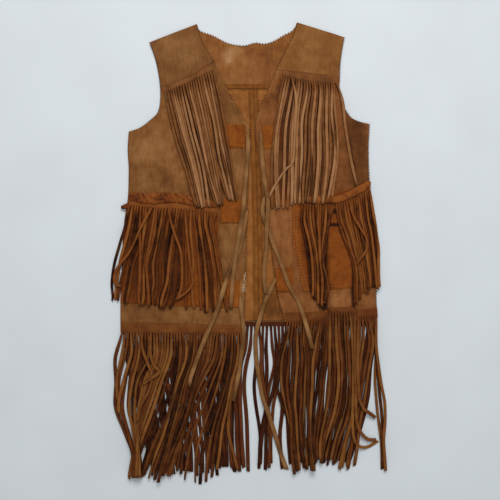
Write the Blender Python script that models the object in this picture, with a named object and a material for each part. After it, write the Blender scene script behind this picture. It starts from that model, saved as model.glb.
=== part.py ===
"""A western vest in suede leather with long cut fringe, laid flat on its back with its fronts open.

The frame has +X to the vest's left side as it is seen from above, +Y to its neck and +Z up. The back
lies on the plane Z = 0. Tables are in millimetres, and every leather wall is worked out from them.
Heights are taken upwards through the layers: back, fronts and yokes, patches, rolled bands, fringes
and ties, each one resting just clear of whatever lies under it.
"""

import math
import random
from collections import namedtuple

import bmesh
import bpy
from mathutils import Vector
from mathutils.bvhtree import BVHTree

MM = 0.001

WALL = 1.5  # garment leather of the back, fronts and yokes
PATCH_WALL = 1.2  # skived leather of the patches and pressed seams
SEAM_GAP = 0.3
LAYER_GAP = 0.35
SIDE_LIFT = 2.15  # underside of a front at its side seam, just over the back
INNER_LIFT = 3.6  # underside of a front over the pressed seams
LIFT_RUN = 26.0  # from the side seam to where the front reaches that height

SEAM_Y = 325.0  # seam of the back yoke
BACK_HEM_Y = -130.0
ALLOWANCE = 8.5  # width of a seam allowance that is pressed open

RIDGE_RISE = 10.0  # height of the pressed fold that runs down the right front
RIDGE_TOP_Y = 62.0
RIDGE_FULL_Y = 22.0
RIDGE_HEM_RISE = 14.0  # how far the fold draws the hem upwards

TIE_WIDTH = 8.0
TIE_WALL = 1.6
TIE_STEP = 21.0

SMOOTH_TAN = (0.21, 0.095, 0.035)
ROUGH_ORANGE = (0.20, 0.055, 0.010)
ROLLED_RUST = (0.14, 0.040, 0.010)
FRINGE_BROWN = (0.11, 0.036, 0.012)
YOKE_FRINGE = (0.20, 0.085, 0.032)
TIE_TAN = (0.27, 0.150, 0.055)

# Each section of a panel: its left end, its right end, and how far its middle hangs below that line.
Section = namedtuple("Section", "left_x left_y right_x right_y sag")
YOKE_LEFT = (
    (-194, 412, -100, 448, 0),
    (-182, 379, -87, 410, 2),
    (-176, 350, -76, 393, 5),
    (-173, 326, -67, 377, 8),
)
FRONT_LEFT = (
    (-173, 326, -67, 377, 8),
    (-173, 301, -58, 358, 4),
    (-178, 276, -42, 332, 1),
    (-192, 262, -25, 299, 0),
    (-212, 247, -8, 266, 0),
    (-233, 239, 5, 247, 0),
    (-235, 204, 4, 214, 0),
    (-233, 165, 2, 165, 0),
    (-235, 106, 0, 102, 0),
    (-241, 67, -1, 71, 0),
    (-245, 9, -3, 20, 0),
    (-247, -50, -5, -50, 0),
    (-249, -93, -6, -93, 0),
    (-249, -151, -8, -155, 0),
)
YOKE_RIGHT = (
    (94, 451, 188, 422, 0),
    (85, 424, 183, 395, 0),
    (73, 399, 180, 370, 0),
    (62, 366, 179, 346, 0),
)
FRONT_RIGHT = (
    (62, 366, 179, 346, 0),
    (52, 346, 178, 321, 0),
    (41, 325, 182, 295, 0),
    (30, 299, 190, 282, 0),
    (19, 270, 202, 266, 0),
    (13, 249, 219, 258, 0),
    (12, 227, 237, 254, 0),
    (17, 196, 235, 204, 0),
    (22, 145, 237, 145, 0),
    (28, 102, 241, 106, 0),
    (34, 62, 248, 64, 0),
    (41, 22, 254, 24, 0),
    (49, -40, 254, -40, 0),
    (56, -85, 250, -83, 0),
    (69, -132, 253, -122, 0),
)
LEFT_COLUMNS = (0, 0.07, 0.16, 0.28, 0.40, 0.52, 0.64, 0.76, 0.88, 1)
RIGHT_COLUMNS = (0, 0.10, 0.21, 0.33, 0.45, 0.50, 0.60, 0.70, 0.755, 0.86, 0.94, 1)
YOKE_COLUMNS = (0, 0.12, 0.30, 0.50, 0.70, 0.88, 1)
RIDGE_COLUMNS = (0.45, 0.50, 0.70, 0.755)

# Soft folds of the fronts: the two ends of the crest, how far it spreads, and how high it stands.
Fold = namedtuple("Fold", "x0 y0 x1 y1 spread rise")
FOLDS = (
    (-200, 200, -120, 40, 60, 2.6),
    (-60, 250, -40, 130, 40, 1.8),
    (-30, 20, -30, -120, 34, 2.2),
    (-190, -40, -170, -150, 55, 2.4),
    (-120, 300, -130, 230, 50, 1.6),
    (90, 250, 70, 60, 42, 2.2),
    (200, 200, 215, 60, 46, 2.4),
    (85, -20, 100, -124, 34, 2.0),
    (120, 330, 125, 250, 50, 1.6),
)

NECK = ((-100, 448), (-95, 438), (-69, 428), (-42, 414), (-20, 409), (-5, 409), (13, 414),
        (30, 412), (46, 416), (67, 428), (85, 438), (94, 451))  # fmt: skip
YOKE_SIDE_LEFT = ((-173, 325), (-182, 379), (-194, 412))
YOKE_SIDE_RIGHT = ((188, 422), (183, 395), (180, 370), (178, 325))
BACK_SIDE_LEFT = ((-173, 325), (-173, 301), (-178, 276), (-192, 262), (-212, 247), (-233, 239),
                  (-235, 204), (-233, 165), (-235, 106), (-241, 67), (-245, 9), (-247, -50),
                  (-249, -93), (-249, -130))  # fmt: skip
BACK_SIDE_RIGHT = ((178, 325), (182, 295), (190, 282), (202, 266), (219, 258), (237, 255),
                   (235, 204), (237, 145), (241, 106), (248, 64), (254, 20), (254, -40),
                   (250, -89), (253, -130))  # fmt: skip
CENTRE_SEAM = ((9, 325), (11, 282), (17, 106), (20, -130))

# Patches of rough-side leather: each side as a point on it and the direction that is cut away.
PATCHES = {
    "pocket_left": ("left", ((-240, 110, 0.07, 1), (-59, 0, 1, 0), (-59, -103, -0.05, -1))),
    "pocket_right": (
        "right",
        ((85, 102, -0.22, 1), (85, 9, -1, 0), (88, 9, -1, -0.23), (85, -74, 0.09, -1)),
    ),
    "tab_chest_left": ("left", ((-50, 0, -1, 0), (-6, 0, 1, 0), (0, 252, 0, 1), (0, 207, 0, -1))),
    "tab_waist_left": ("left", ((-56, 0, -1, 0), (-10, 0, 1, 0), (0, 108, 0, 1), (0, 61, 0, -1))),
    "tab_hip_left": ("left", ((-56, 0, -1, 0), (-17, 0, 1, 0), (0, -50, 0, 1), (0, -103, 0, -1))),
    "tab_chest_right": ("right", ((26, 0, -1, 0), (66, 0, 1, 0), (0, 251, 0, 1), (0, 205, 0, -1))),
    "tab_waist_right": ("right", ((36, 0, -1, 0), (80, 0, 1, 0), (0, 134, 0, 1), (0, 94, 0, -1))),
    "tab_hip_right": ("right", ((52, 0, -1, 0), (86, 0, 1, 0), (0, -26, 0, 1), (0, -73, 0, -1))),
}

# Stations along a rolled band: its middle, its width and its height.
Station = namedtuple("Station", "x y width height")
BANDS = {
    "band_left": (
        (-238, 112, 12, 4.5),
        (-228, 113, 16, 6.0),
        (-206, 109, 17, 6.5),
        (-178, 107, 16, 6.5),
        (-147, 110, 13, 6.0),
        (-110, 102, 14, 6.0),
        (-80, 99, 12, 5.5),
        (-60, 96, 10, 4.5),
    ),
    "band_right": (
        (100, 105, 11, 4.5),
        (125, 106, 14, 5.5),
        (149, 106, 16, 6.0),
        (171, 107, 16, 6.5),
        (192, 114, 17, 7.0),
        (210, 123, 19, 7.0),
        (227, 134, 19, 7.0),
        (242, 141, 14, 5.0),
    ),
}

# Each fringe: its strip's upper edge and the line of its roots, then the rows that its strands pass,
# each row from side to side as places (fraction, x, y).
FRINGES = {
    "fringe_pocket_left": {
        "count": 32, "width": 4.9, "levels": 3, "wander": 4.2, "tip": 7.0, "gap": 0.35, "seed": 3,
        "upper": ((-232, 104), (-190, 98), (-147, 98), (-110, 93), (-60, 89)),
        "roots": ((-232, 96), (-190, 91), (-147, 90), (-110, 86), (-60, 81)),
        "rows": (
            ((0, -236, 80), (1, -58, 68)),
            ((0, -249, 12), (1, -51, 6)),
            ((0, -258, -45), (1, -45, -50)),
            ((0, -262, -91), (0.25, -205, -104), (0.6, -120, -108), (1, -43, -110)),
        ),
    },
    "fringe_pocket_right": {
        "count": 28, "width": 4.9, "levels": 3, "wander": 2.8, "tip": 4.0, "gap": 0.35, "seed": 4,
        "upper": ((102, 96), (151, 96), (175, 97), (190, 103), (210, 111), (234, 127)),
        "roots": ((102, 88), (151, 88), (177, 89), (193, 95), (213, 103), (237, 119)),
        "rows": (
            ((0, 104, 74), (0.48, 158, 74), (0.52, 180, 78), (1, 243, 100)),
            ((0, 114, 30), (0.46, 140, 30), (0.54, 206, 34), (1, 254, 45)),
            ((0, 120, -30), (0.46, 141, -30), (0.54, 207, -32), (1, 256, -18)),
            ((0, 124, -82), (0.46, 140, -92), (0.54, 209, -92), (0.75, 222, -80), (1, 254, -61)),
        ),
    },
    "fringe_hem_back": {
        "count": 66, "width": 5.0, "levels": 3, "wander": 6.0, "tip": 9.0, "gap": 0.35, "seed": 5,
        "upper": ((-247, -130.3), (251, -130.3)),
        "roots": ((-247, -139), (251, -139)),
        "rows": (
            ((0, -241, -215), (0.5, 12, -215), (1, 243, -215)),
            ((0, -216, -320), (0.5, 14, -320), (1, 226, -320)),
            ((0, -190, -412), (0.25, -120, -424), (0.5, 12, -414), (0.7, 90, -402), (1, 202, -405)),
        ),
    },
    "fringe_hem_left": {
        "count": 42, "width": 4.9, "levels": 3, "wander": 6.5, "tip": 8.0, "gap": 0.35, "seed": 6,
        "upper": ((-247, -130), (-12, -138)),
        "roots": ((-247, -150), (-12, -153)),
        "rows": (
            ((0, -251, -170), (1, -12, -173)),
            ((0, -264, -250), (0.1, -255, -250), (0.57, -142, -250), (0.77, -97, -250), (1, -24, -255)),
            ((0, -252, -325), (0.1, -254, -325), (0.42, -204, -325), (0.77, -122, -325), (1, -30, -330)),
            ((0, -230, -400), (0.1, -234, -430), (0.42, -202, -430), (0.57, -172, -436),
             (0.77, -132, -440), (0.92, -80, -440), (0.95, -52, -420), (1, -22, -418)),
        ),
    },
    "fringe_hem_right": {
        "count": 36, "width": 4.9, "levels": 3, "wander": 6.0, "tip": 8.0, "gap": 0.75, "seed": 7,
        "upper": ((70, -113), (144, -111), (157, -102), (199, -101), (212, -107), (250, -104)),
        "roots": ((73, -130), (143, -127), (157, -110), (200, -109), (212, -121), (250, -120)),
        "rows": (
            ((0, 74, -147), (1, 253, -139)),
            ((0, 61, -235), (0.45, 149, -235), (0.9, 221, -235), (0.92, 240, -235), (1, 261, -235)),
            ((0, 71, -325), (0.45, 138, -325), (0.9, 203, -325), (0.92, 250, -325), (1, 267, -325)),
            ((0, 80, -426), (0.2, 107, -418), (0.45, 136, -405), (0.6, 158, -402), (0.7, 173, -418),
             (0.9, 196, -414), (0.92, 252, -418), (1, 264, -420)),
        ),
    },
    "fringe_yoke_left": {
        "count": 20, "width": 4.9, "levels": 2, "wander": 2.2, "tip": 3.0, "gap": 0.35, "seed": 1,
        "upper": ((-165, 323), (-141, 333), (-122, 340), (-102, 350), (-87, 359), (-70, 370)),
        "roots": ((-163, 312), (-141, 323), (-122, 331), (-102, 341), (-87, 350), (-66, 358)),
        "rows": (
            ((0, -160, 296), (0.5, -112, 322), (1, -63, 340)),
            ((0, -143, 230), (1, -49, 270)),
            ((0, -122, 158), (1, -36, 192)),
            ((0, -100, 95), (0.35, -80, 94), (0.7, -48, 98), (1, -22, 105)),
        ),
    },
    "fringe_yoke_right": {
        "count": 22, "width": 4.9, "levels": 2, "wander": 3.0, "tip": 4.0, "gap": 0.35, "seed": 2,
        "upper": ((68, 360), (93, 356), (114, 353), (134, 350), (161, 345), (173, 342)),
        "roots": ((67, 350), (93, 343), (114, 338), (134, 334), (161, 333), (172, 334)),
        "rows": (
            ((0, 63, 334), (0.5, 122, 318), (1, 174, 318)),
            ((0, 48, 260), (1, 187, 260)),
            ((0, 42, 180), (1, 197, 184)),
            ((0, 48, 86), (0.2, 70, 90), (0.45, 105, 99), (0.75, 140, 98), (1, 203, 122)),
        ),
    },
}
STRAND_WALL = 1.3
LEVEL_STEP = 2.0  # strands that may cross lie this far above each other
BED_KNOTS = 5
BED_REACH = 0.26
CELL_FILL = 0.86  # share of the root line that is strand, the rest is slit
TIP_TAPER = 0.8
SAMPLE_STEP = 4.0  # how finely the surfaces below a strand are felt

# Each tie's route from its hole to its cut end, in the order in which they lie on each other.
TIES = {
    "tie_hip_left": ((-16, -79), (-14, -104), (-11, -130), (-10, -161), (-14, -192), (-17, -217),
                     (-22, -245), (-30, -284)),
    "tie_waist_left": ((-3, 86), (-8, 54), (-14, 22), (-28, -12), (-39, -36), (-45, -56), (-56, -94),
                       (-70, -130), (-82, -157), (-94, -187), (-110, -235), (-114, -253)),
    "tie_chest_left": ((-6, 234), (-1, 223), (-2, 190), (-4, 165), (-7, 128), (-11, 83), (-15, 58),
                       (-20, 26), (-25, -4), (-31, -56), (-35, -104)),
    "tie_hip_right": ((53, -46), (50, -54), (42, -71), (31, -93), (24, -118), (17, -141), (14, -161),
                      (14, -186), (16, -210), (22, -247), (28, -276), (38, -305), (49, -342),
                      (65, -393), (74, -418)),
    "tie_waist_right": ((31, 112), (27, 89), (30, 71), (42, 40), (48, 20), (58, -4), (67, -28),
                        (77, -56), (86, -73), (97, -93), (113, -141), (124, -182)),
    "tie_chest_right": ((24, 238), (25, 210), (29, 161), (34, 130), (38, 104), (37, 83), (35, 34),
                        (35, 9), (31, -17), (30, -42), (34, -77)),
}  # fmt: skip


def smooth(t):
    t = min(max(t, 0.0), 1.0)
    return t * t * (3 - 2 * t)


def blend(a, b, t):
    return a + (b - a) * t


def along(points, fraction):
    """The place this far along an open line, by its length."""
    lengths = [math.dist(a, b) for a, b in zip(points, points[1:])]
    left = fraction * sum(lengths)
    for a, b, length in zip(points, points[1:], lengths):
        if left <= length or b is points[-1]:
            share = left / length
            return blend(a[0], b[0], share), blend(a[1], b[1], share)
        left -= length
    return points[-1]


def across(row, fraction):
    """The place in a row of (fraction, x, y) places."""
    for a, b in zip(row, row[1:]):
        if fraction <= b[0]:
            break
    share = (fraction - a[0]) / (b[0] - a[0])
    return blend(a[1], b[1], share), blend(a[2], b[2], share)


def fold_rise(x, y):
    """How far the soft folds lift a front here."""
    rise = 0.0
    for fold in map(Fold._make, FOLDS):
        run_x, run_y = fold.x1 - fold.x0, fold.y1 - fold.y0
        share = ((x - fold.x0) * run_x + (y - fold.y0) * run_y) / (run_x**2 + run_y**2)
        share = min(max(share, 0.0), 1.0)
        away = math.hypot(x - fold.x0 - share * run_x, y - fold.y0 - share * run_y)
        rise += fold.rise * smooth(1 - away / fold.spread)
    return rise


def ridge_share(fraction):
    """1 on top of the pressed fold, 0 beside it."""
    start, full, end, foot = RIDGE_COLUMNS
    return min(
        max((fraction - start) / (full - start), 0.0), max((foot - fraction) / (foot - end), 0.0), 1.0
    )


def panel_grid(sections, columns, side, ridge=False):
    """An open grid through the sections, at the height of the wall's underside."""
    mesh = bmesh.new()
    rows, cells = len(sections) - 1, len(columns) - 1
    bmesh.ops.create_grid(mesh, x_segments=cells, y_segments=rows, size=0.5)
    for vert in mesh.verts:
        fraction = columns[round((vert.co.x + 0.5) * cells)]
        index = round((0.5 - vert.co.y) * rows)
        section = Section(*sections[index])
        x = blend(section.left_x, section.right_x, fraction)
        y = blend(section.left_y, section.right_y, fraction)
        y -= section.sag * 4 * fraction * (1 - fraction)
        from_side = (x - section.left_x) if side == "left" else (section.right_x - x)
        height = blend(SIDE_LIFT, INNER_LIFT, smooth(from_side / LIFT_RUN))
        height += fold_rise(x, y) * smooth(from_side / LIFT_RUN)
        if ridge:
            share = ridge_share(fraction)
            height += RIDGE_RISE * share * smooth((RIDGE_TOP_Y - y) / (RIDGE_TOP_Y - RIDGE_FULL_Y))
            y += RIDGE_HEM_RISE * share * (index == rows)
        vert.co = Vector((x, y, height)) * MM
    bmesh.ops.triangulate(mesh, faces=mesh.faces[:])
    return mesh


def thicken(mesh, wall):
    """Makes an open surface a closed wall by drawing it straight upwards."""
    drawn = bmesh.ops.extrude_face_region(mesh, geom=mesh.faces[:])["geom"]
    upper = [item for item in drawn if isinstance(item, bmesh.types.BMVert)]
    bmesh.ops.translate(mesh, verts=upper, vec=(0, 0, wall * MM))
    bmesh.ops.recalc_face_normals(mesh, faces=mesh.faces[:])


def flat_grid(outline, height):
    """One flat face inside the outline."""
    mesh = bmesh.new()
    mesh.faces.new([mesh.verts.new((x * MM, y * MM, height * MM)) for x, y in outline])
    return mesh


def cut_patch(panel, sides, lift):
    """A patch cut from the panel's own surface and moved out from it."""
    mesh = panel.copy()
    for x, y, away_x, away_y in sides:
        everything = mesh.verts[:] + mesh.edges[:] + mesh.faces[:]
        bmesh.ops.bisect_plane(
            mesh,
            geom=everything,
            dist=1e-6,
            plane_co=(x * MM, y * MM, 0),
            plane_no=Vector((away_x, away_y, 0)).normalized(),
            clear_outer=True,
        )
    bmesh.ops.translate(mesh, verts=mesh.verts[:], vec=(0, 0, lift * MM))
    return mesh


class Layers:
    """What is laid down so far, to rest the next layer on."""

    def __init__(self):
        self.trees = []

    def add(self, mesh):
        self.trees.append(BVHTree.FromBMesh(mesh))

    def top(self, x, y):
        """The height in millimetres of the highest surface here."""
        start = Vector((x * MM, y * MM, 1.0))
        heights = [0.0]
        for tree in self.trees:
            hit = tree.ray_cast(start, Vector((0, 0, -1)))[0]
            if hit is not None:
                heights.append(hit.z / MM)
        return max(heights)

    def top_between(self, start, end, half_width):
        """The highest surface under a flat strip from start to end."""
        run = math.dist(start, end) or 1.0
        side_x, side_y = (start[1] - end[1]) / run, (end[0] - start[0]) / run
        highest = 0.0
        steps = max(round(run / SAMPLE_STEP), 2)
        for step in range(steps + 1):
            x, y = (blend(a, b, step / steps) for a, b in zip(start, end))
            for offset in (-half_width, 0, half_width):
                highest = max(highest, self.top(x + side_x * offset, y + side_y * offset))
        return highest


def material_for(name, colour, roughness):
    material = bpy.data.materials.new(name)
    material.use_nodes = True
    shader = material.node_tree.nodes["Principled BSDF"]
    shader.inputs["Base Color"].default_value = (*colour, 1)
    shader.inputs["Roughness"].default_value = roughness
    shader.inputs["Metallic"].default_value = 0.0
    return material


def place(name, mesh, layers, collection, colour, roughness=0.85):
    """Makes the finished wall an object and lays it on the others."""
    bmesh.ops.triangulate(mesh, faces=mesh.faces[:])
    layers.add(mesh)
    data = bpy.data.meshes.new(name)
    mesh.to_mesh(data)
    mesh.free()
    data.materials.append(material_for(name, colour, roughness))
    collection.objects.link(bpy.data.objects.new(name, data))


def ring(mesh, centre, direction, width, bottom, wall):
    """Four corners across a flat strand or tie."""
    length = math.hypot(*direction) or 1.0
    side_x, side_y = -direction[1] / length * width / 2, direction[0] / length * width / 2
    left = (centre[0] - side_x, centre[1] - side_y)
    right = (centre[0] + side_x, centre[1] + side_y)
    corners = ((*left, bottom), (*right, bottom), (*right, bottom + wall), (*left, bottom + wall))
    return [mesh.verts.new(Vector(corner) * MM) for corner in corners]


def bridge(mesh, first, second):
    for index in range(len(first)):
        after = (index + 1) % len(first)
        mesh.faces.new((first[index], first[after], second[after], second[index]))


def strand_paths(fringe):
    """Each strand's places in the rows, as (fraction, level, places)."""
    chance = random.Random(fringe["seed"])
    rows, count = fringe["rows"], fringe["count"]
    paths = []
    for index in range(count):
        fraction = (index + 0.5) / count
        places = [along(fringe["roots"], fraction)]
        drift = 0.0
        for number, row in enumerate(rows, 1):
            x, y = across(row, fraction)
            share = number / len(rows)
            drift = 0.4 * drift + chance.uniform(-1, 1) * fringe["wander"]
            last = number == len(rows)
            places.append(
                (x + drift * share, y + (chance.uniform(-1, 1) * fringe["tip"] if last else 0))
            )
        paths.append((fraction, index % fringe["levels"], places))
    return paths


def draped(places, gap, layers):
    """The places with heights that keep the line between them clear of what lies below."""
    heights = [layers.top(x, y) for x, y in places]
    for index, (a, b) in enumerate(zip(places, places[1:])):
        for share in (0.25, 0.5, 0.75):
            surface = layers.top(blend(a[0], b[0], share), blend(a[1], b[1], share))
            short = max(surface - blend(heights[index], heights[index + 1], share), 0.0)
            heights[index] += short
            heights[index + 1] += short
    return [(x, y, height + gap) for (x, y), height in zip(places, heights)]


def lifted(place, rise):
    return place[0], place[1], place[2] + rise


def bed_heights(paths, width, layers, rows):
    """For each row, the height that clears all that lies below, as knots across the fringe."""
    needed = []
    for fraction, _, places in paths:
        spans = [layers.top_between(a, b, width / 2) for a, b in zip(places, places[1:])]
        spans.append(spans[-1])
        needed.append((fraction, [max(spans[row - 1], spans[row]) for row in range(1, rows + 1)]))
    beds = []
    for row in range(rows):
        knots = []
        for knot in range(BED_KNOTS):
            middle = knot / (BED_KNOTS - 1)
            near = [highs[row] for fraction, highs in needed if abs(fraction - middle) <= BED_REACH]
            knots.append((middle, max(near), 0))
        beds.append(knots)
    return beds


def make_fringe(fringe, layers):
    """A strip with its strands cut from its lower edge, all one piece."""
    mesh = bmesh.new()
    count, width = fringe["count"], fringe["width"]
    paths = strand_paths(fringe)
    beds = bed_heights(paths, width, layers, len(fringe["rows"]))

    posts = [0.0]
    for index in range(count):
        posts += [(index + 0.5 - CELL_FILL / 2) / count, (index + 0.5 + CELL_FILL / 2) / count]
    posts.append(1.0)
    gap = fringe["gap"]
    uppers = draped([along(fringe["upper"], post) for post in posts], gap, layers)
    roots = draped([along(fringe["roots"], post) for post in posts], gap, layers)
    columns = []
    for upper, root in zip(uppers, roots):
        corners = (upper, root, lifted(root, STRAND_WALL), lifted(upper, STRAND_WALL))
        columns.append([mesh.verts.new(Vector(corner) * MM) for corner in corners])
    for number, (first, second) in enumerate(zip(columns, columns[1:])):
        for index in range(4):
            after = (index + 1) % 4
            if index == 1 and number % 2:
                continue  # a strand grows from here
            mesh.faces.new((first[index], first[after], second[after], second[index]))
    mesh.faces.new(columns[0])
    mesh.faces.new(columns[-1])

    for index, (fraction, level, places) in enumerate(paths):
        first, second = columns[2 * index + 1], columns[2 * index + 2]
        before = [first[1], second[1], second[2], first[2]]
        for row in range(1, len(places)):
            ahead = places[min(row + 1, len(places) - 1)]
            direction = (ahead[0] - places[row - 1][0], ahead[1] - places[row - 1][1])
            last = row == len(places) - 1
            bottom = across(beds[row - 1], fraction)[0] + LAYER_GAP + level * LEVEL_STEP
            taper = TIP_TAPER if last else 1.0
            after = ring(mesh, places[row], direction, width * taper, bottom, STRAND_WALL)
            bridge(mesh, before, after)
            before = after
        mesh.faces.new(before)
    bmesh.ops.recalc_face_normals(mesh, faces=mesh.faces[:])
    return mesh


def make_band(rows, layers):
    """A strip of leather rolled over its own fringe: a low flattened roll."""
    mesh = bmesh.new()
    stations = [Station(*row) for row in rows]
    profile = ((-0.5, 0.25), (-0.36, 0.0), (0.36, 0.0), (0.5, 0.25), (0.42, 0.75), (0.16, 1.0),
               (-0.16, 1.0), (-0.42, 0.75))  # fmt: skip
    rests = [
        layers.top_between((a.x, a.y), (b.x, b.y), max(a.width, b.width) / 2)
        for a, b in zip(stations, stations[1:])
    ]
    before = None
    for index, station in enumerate(stations):
        back, ahead = stations[max(index - 1, 0)], stations[min(index + 1, len(stations) - 1)]
        side = Vector((back.y - ahead.y, ahead.x - back.x, 0)).normalized()
        rest = max(rests[max(index - 1, 0)], rests[min(index, len(rests) - 1)]) + LAYER_GAP
        middle = Vector((station.x, station.y, rest))
        rise = Vector((0, 0, station.height))
        after = [
            mesh.verts.new((middle + side * out * station.width + rise * up) * MM)
            for out, up in profile
        ]
        if before is None:
            mesh.faces.new(after)
        else:
            bridge(mesh, before, after)
        before = after
    mesh.faces.new(before)
    bmesh.ops.recalc_face_normals(mesh, faces=mesh.faces[:])
    return mesh


def smooth_route(points, step):
    """Places every step along a smooth curve through the route's points."""
    fine = []
    for index in range(len(points) - 1):
        p0 = points[max(index - 1, 0)]
        p1, p2 = points[index], points[index + 1]
        p3 = points[min(index + 2, len(points) - 1)]
        for part in range(8):
            t = part / 8
            fine.append(
                tuple(
                    0.5
                    * (
                        2 * b
                        + (c - a) * t
                        + (2 * a - 5 * b + 4 * c - d) * t**2
                        + (3 * b - a - 3 * c + d) * t**3
                    )
                    for a, b, c, d in zip(p0, p1, p2, p3)
                )
            )
    fine.append(points[-1])
    total = sum(math.dist(a, b) for a, b in zip(fine, fine[1:]))
    count = round(total / step)
    return [along(fine, index / count) for index in range(count + 1)]


def make_tie(route, layers):
    """A flat thong with cut ends."""
    mesh = bmesh.new()
    places = smooth_route(route, TIE_STEP)
    spans = [layers.top_between(a, b, TIE_WIDTH / 2 + 0.5) for a, b in zip(places, places[1:])]
    before = None
    for index, middle in enumerate(places):
        back, ahead = places[max(index - 1, 0)], places[min(index + 1, len(places) - 1)]
        direction = (ahead[0] - back[0], ahead[1] - back[1])
        rest = max(spans[max(index - 1, 0)], spans[min(index, len(spans) - 1)]) + LAYER_GAP
        after = ring(mesh, middle, direction, TIE_WIDTH, rest, TIE_WALL)
        if before is None:
            mesh.faces.new(after)
        else:
            bridge(mesh, before, after)
        before = after
    mesh.faces.new(before)
    bmesh.ops.recalc_face_normals(mesh, faces=mesh.faces[:])
    return mesh


def shifted(points, dx=0.0, dy=0.0):
    return [(x + dx, y + dy) for x, y in points]


def build_back(layers, collection):
    """The back lies on the surface, wrong side up, with its seams pressed open on top of it."""
    half = SEAM_GAP / 2
    left_side = ((-173, SEAM_Y - half), *BACK_SIDE_LEFT[1:])
    right_side = ((178, SEAM_Y - half), *BACK_SIDE_RIGHT[1:])
    centre = ((CENTRE_SEAM[0][0], SEAM_Y - half), *CENTRE_SEAM[1:])
    outlines = {
        "back_yoke": [
            (-173, SEAM_Y + half), *YOKE_SIDE_LEFT[1:], *NECK, *YOKE_SIDE_RIGHT[:-1],
            (178, SEAM_Y + half),
        ],
        "back_left": [*left_side, *reversed(shifted(centre, dx=-half))],
        "back_right": [*right_side, *reversed(shifted(centre, dx=half))],
    }  # fmt: skip
    for name, outline in outlines.items():
        mesh = flat_grid(outline, 0)
        thicken(mesh, WALL)
        place(name, mesh, layers, collection, SMOOTH_TAN)

    top, foot = SEAM_Y - ALLOWANCE / 2, BACK_HEM_Y + 1
    seam = [(CENTRE_SEAM[0][0], top), *CENTRE_SEAM[1:-1], (CENTRE_SEAM[-1][0], foot)]
    allowances = {
        "seam_yoke": [
            (x, SEAM_Y + rise) for x, rise in ((-136, -3), (142, -3), (142, 6), (-136, 6))
        ],
        "seam_centre_left": [*shifted(seam, dx=-half), *reversed(shifted(seam, dx=-ALLOWANCE))],
        "seam_centre_right": [*shifted(seam, dx=half), *reversed(shifted(seam, dx=ALLOWANCE))],
    }
    for name, outline in allowances.items():
        mesh = flat_grid(outline, WALL + SEAM_GAP)
        thicken(mesh, PATCH_WALL)
        place(name, mesh, layers, collection, SMOOTH_TAN)


def build_fronts(layers, collection):
    """Each front hangs from its yoke, and its patches are cut from the same surface."""
    grids = {
        "left": panel_grid(FRONT_LEFT, LEFT_COLUMNS, "left"),
        "right": panel_grid(FRONT_RIGHT, RIGHT_COLUMNS, "right", ridge=True),
    }
    yokes = {
        "left": panel_grid(YOKE_LEFT, YOKE_COLUMNS, "left"),
        "right": panel_grid(YOKE_RIGHT, YOKE_COLUMNS, "right"),
    }
    for side, grid in yokes.items():
        bmesh.ops.translate(grid, verts=grid.verts[:], vec=(0, SEAM_GAP * MM, 0))
        thicken(grid, WALL)
        place(f"yoke_{side}", grid, layers, collection, SMOOTH_TAN)
    for side, grid in grids.items():
        wall = grid.copy()
        thicken(wall, WALL)
        place(f"front_{side}", wall, layers, collection, SMOOTH_TAN)
    for name, (side, cuts) in PATCHES.items():
        mesh = cut_patch(grids[side], cuts, WALL + SEAM_GAP)
        thicken(mesh, PATCH_WALL)
        place(name, mesh, layers, collection, ROUGH_ORANGE, 0.95)


def build_fringe(name, layers, collection):
    colour = YOKE_FRINGE if "yoke" in name else FRINGE_BROWN
    place(name, make_fringe(FRINGES[name], layers), layers, collection, colour, 0.95)


def main():
    for old in list(bpy.data.objects):
        bpy.data.objects.remove(old, do_unlink=True)
    collection = bpy.data.collections.new("western_vest")
    bpy.context.scene.collection.children.link(collection)
    layers = Layers()
    build_back(layers, collection)
    build_fringe("fringe_hem_back", layers, collection)
    build_fronts(layers, collection)
    for name, stations in BANDS.items():
        place(name, make_band(stations, layers), layers, collection, ROLLED_RUST, 0.95)
    for name in FRINGES:
        if name not in collection.objects:
            build_fringe(name, layers, collection)
    for name, route in TIES.items():
        place(name, make_tie(route, layers), layers, collection, TIE_TAN, 0.8)


main()
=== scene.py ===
"""A fringed suede western vest, laid flat on its back on a pale cloth and seen from straight above.

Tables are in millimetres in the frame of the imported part: +Y to the neck, +Z up out of the fronts.
Each piece is cut and laid in the order in which the real vest lies: back, fronts, patches, fringes,
rolled bands and ties. What is already laid is kept as a map of heights, and the next layer rests on it.
"""

import math
import random

import bmesh
import bpy
import numpy as np
from mathutils import Euler, Matrix, Vector, noise
from mathutils.bvhtree import BVHTree
from mathutils.geometry import interpolate_bezier


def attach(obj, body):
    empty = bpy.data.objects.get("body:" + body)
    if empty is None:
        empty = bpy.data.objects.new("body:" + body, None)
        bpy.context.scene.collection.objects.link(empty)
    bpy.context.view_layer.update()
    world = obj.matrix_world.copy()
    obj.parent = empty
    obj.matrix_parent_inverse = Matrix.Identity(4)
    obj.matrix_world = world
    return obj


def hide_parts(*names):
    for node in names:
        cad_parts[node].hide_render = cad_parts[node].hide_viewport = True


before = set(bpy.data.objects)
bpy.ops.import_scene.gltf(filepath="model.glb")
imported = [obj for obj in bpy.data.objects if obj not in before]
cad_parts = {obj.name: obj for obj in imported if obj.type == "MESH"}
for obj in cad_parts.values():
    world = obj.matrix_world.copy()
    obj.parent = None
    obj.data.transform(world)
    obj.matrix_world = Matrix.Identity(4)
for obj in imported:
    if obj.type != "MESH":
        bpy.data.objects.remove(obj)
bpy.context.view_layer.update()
scene = bpy.context.scene

# The view: a camera hangs straight above the middle of the vest with a normal 50 mm lens. The picture
# spans 975 mm of the floor, and the lens stays sharp everywhere.
PICTURE_SPAN = 0.975


def add_object(name, data):
    """Puts a mesh, a lamp or a camera into the scene, and gives its object."""
    added = bpy.data.objects.new(name, data)
    scene.collection.objects.link(added)
    return added


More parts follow.
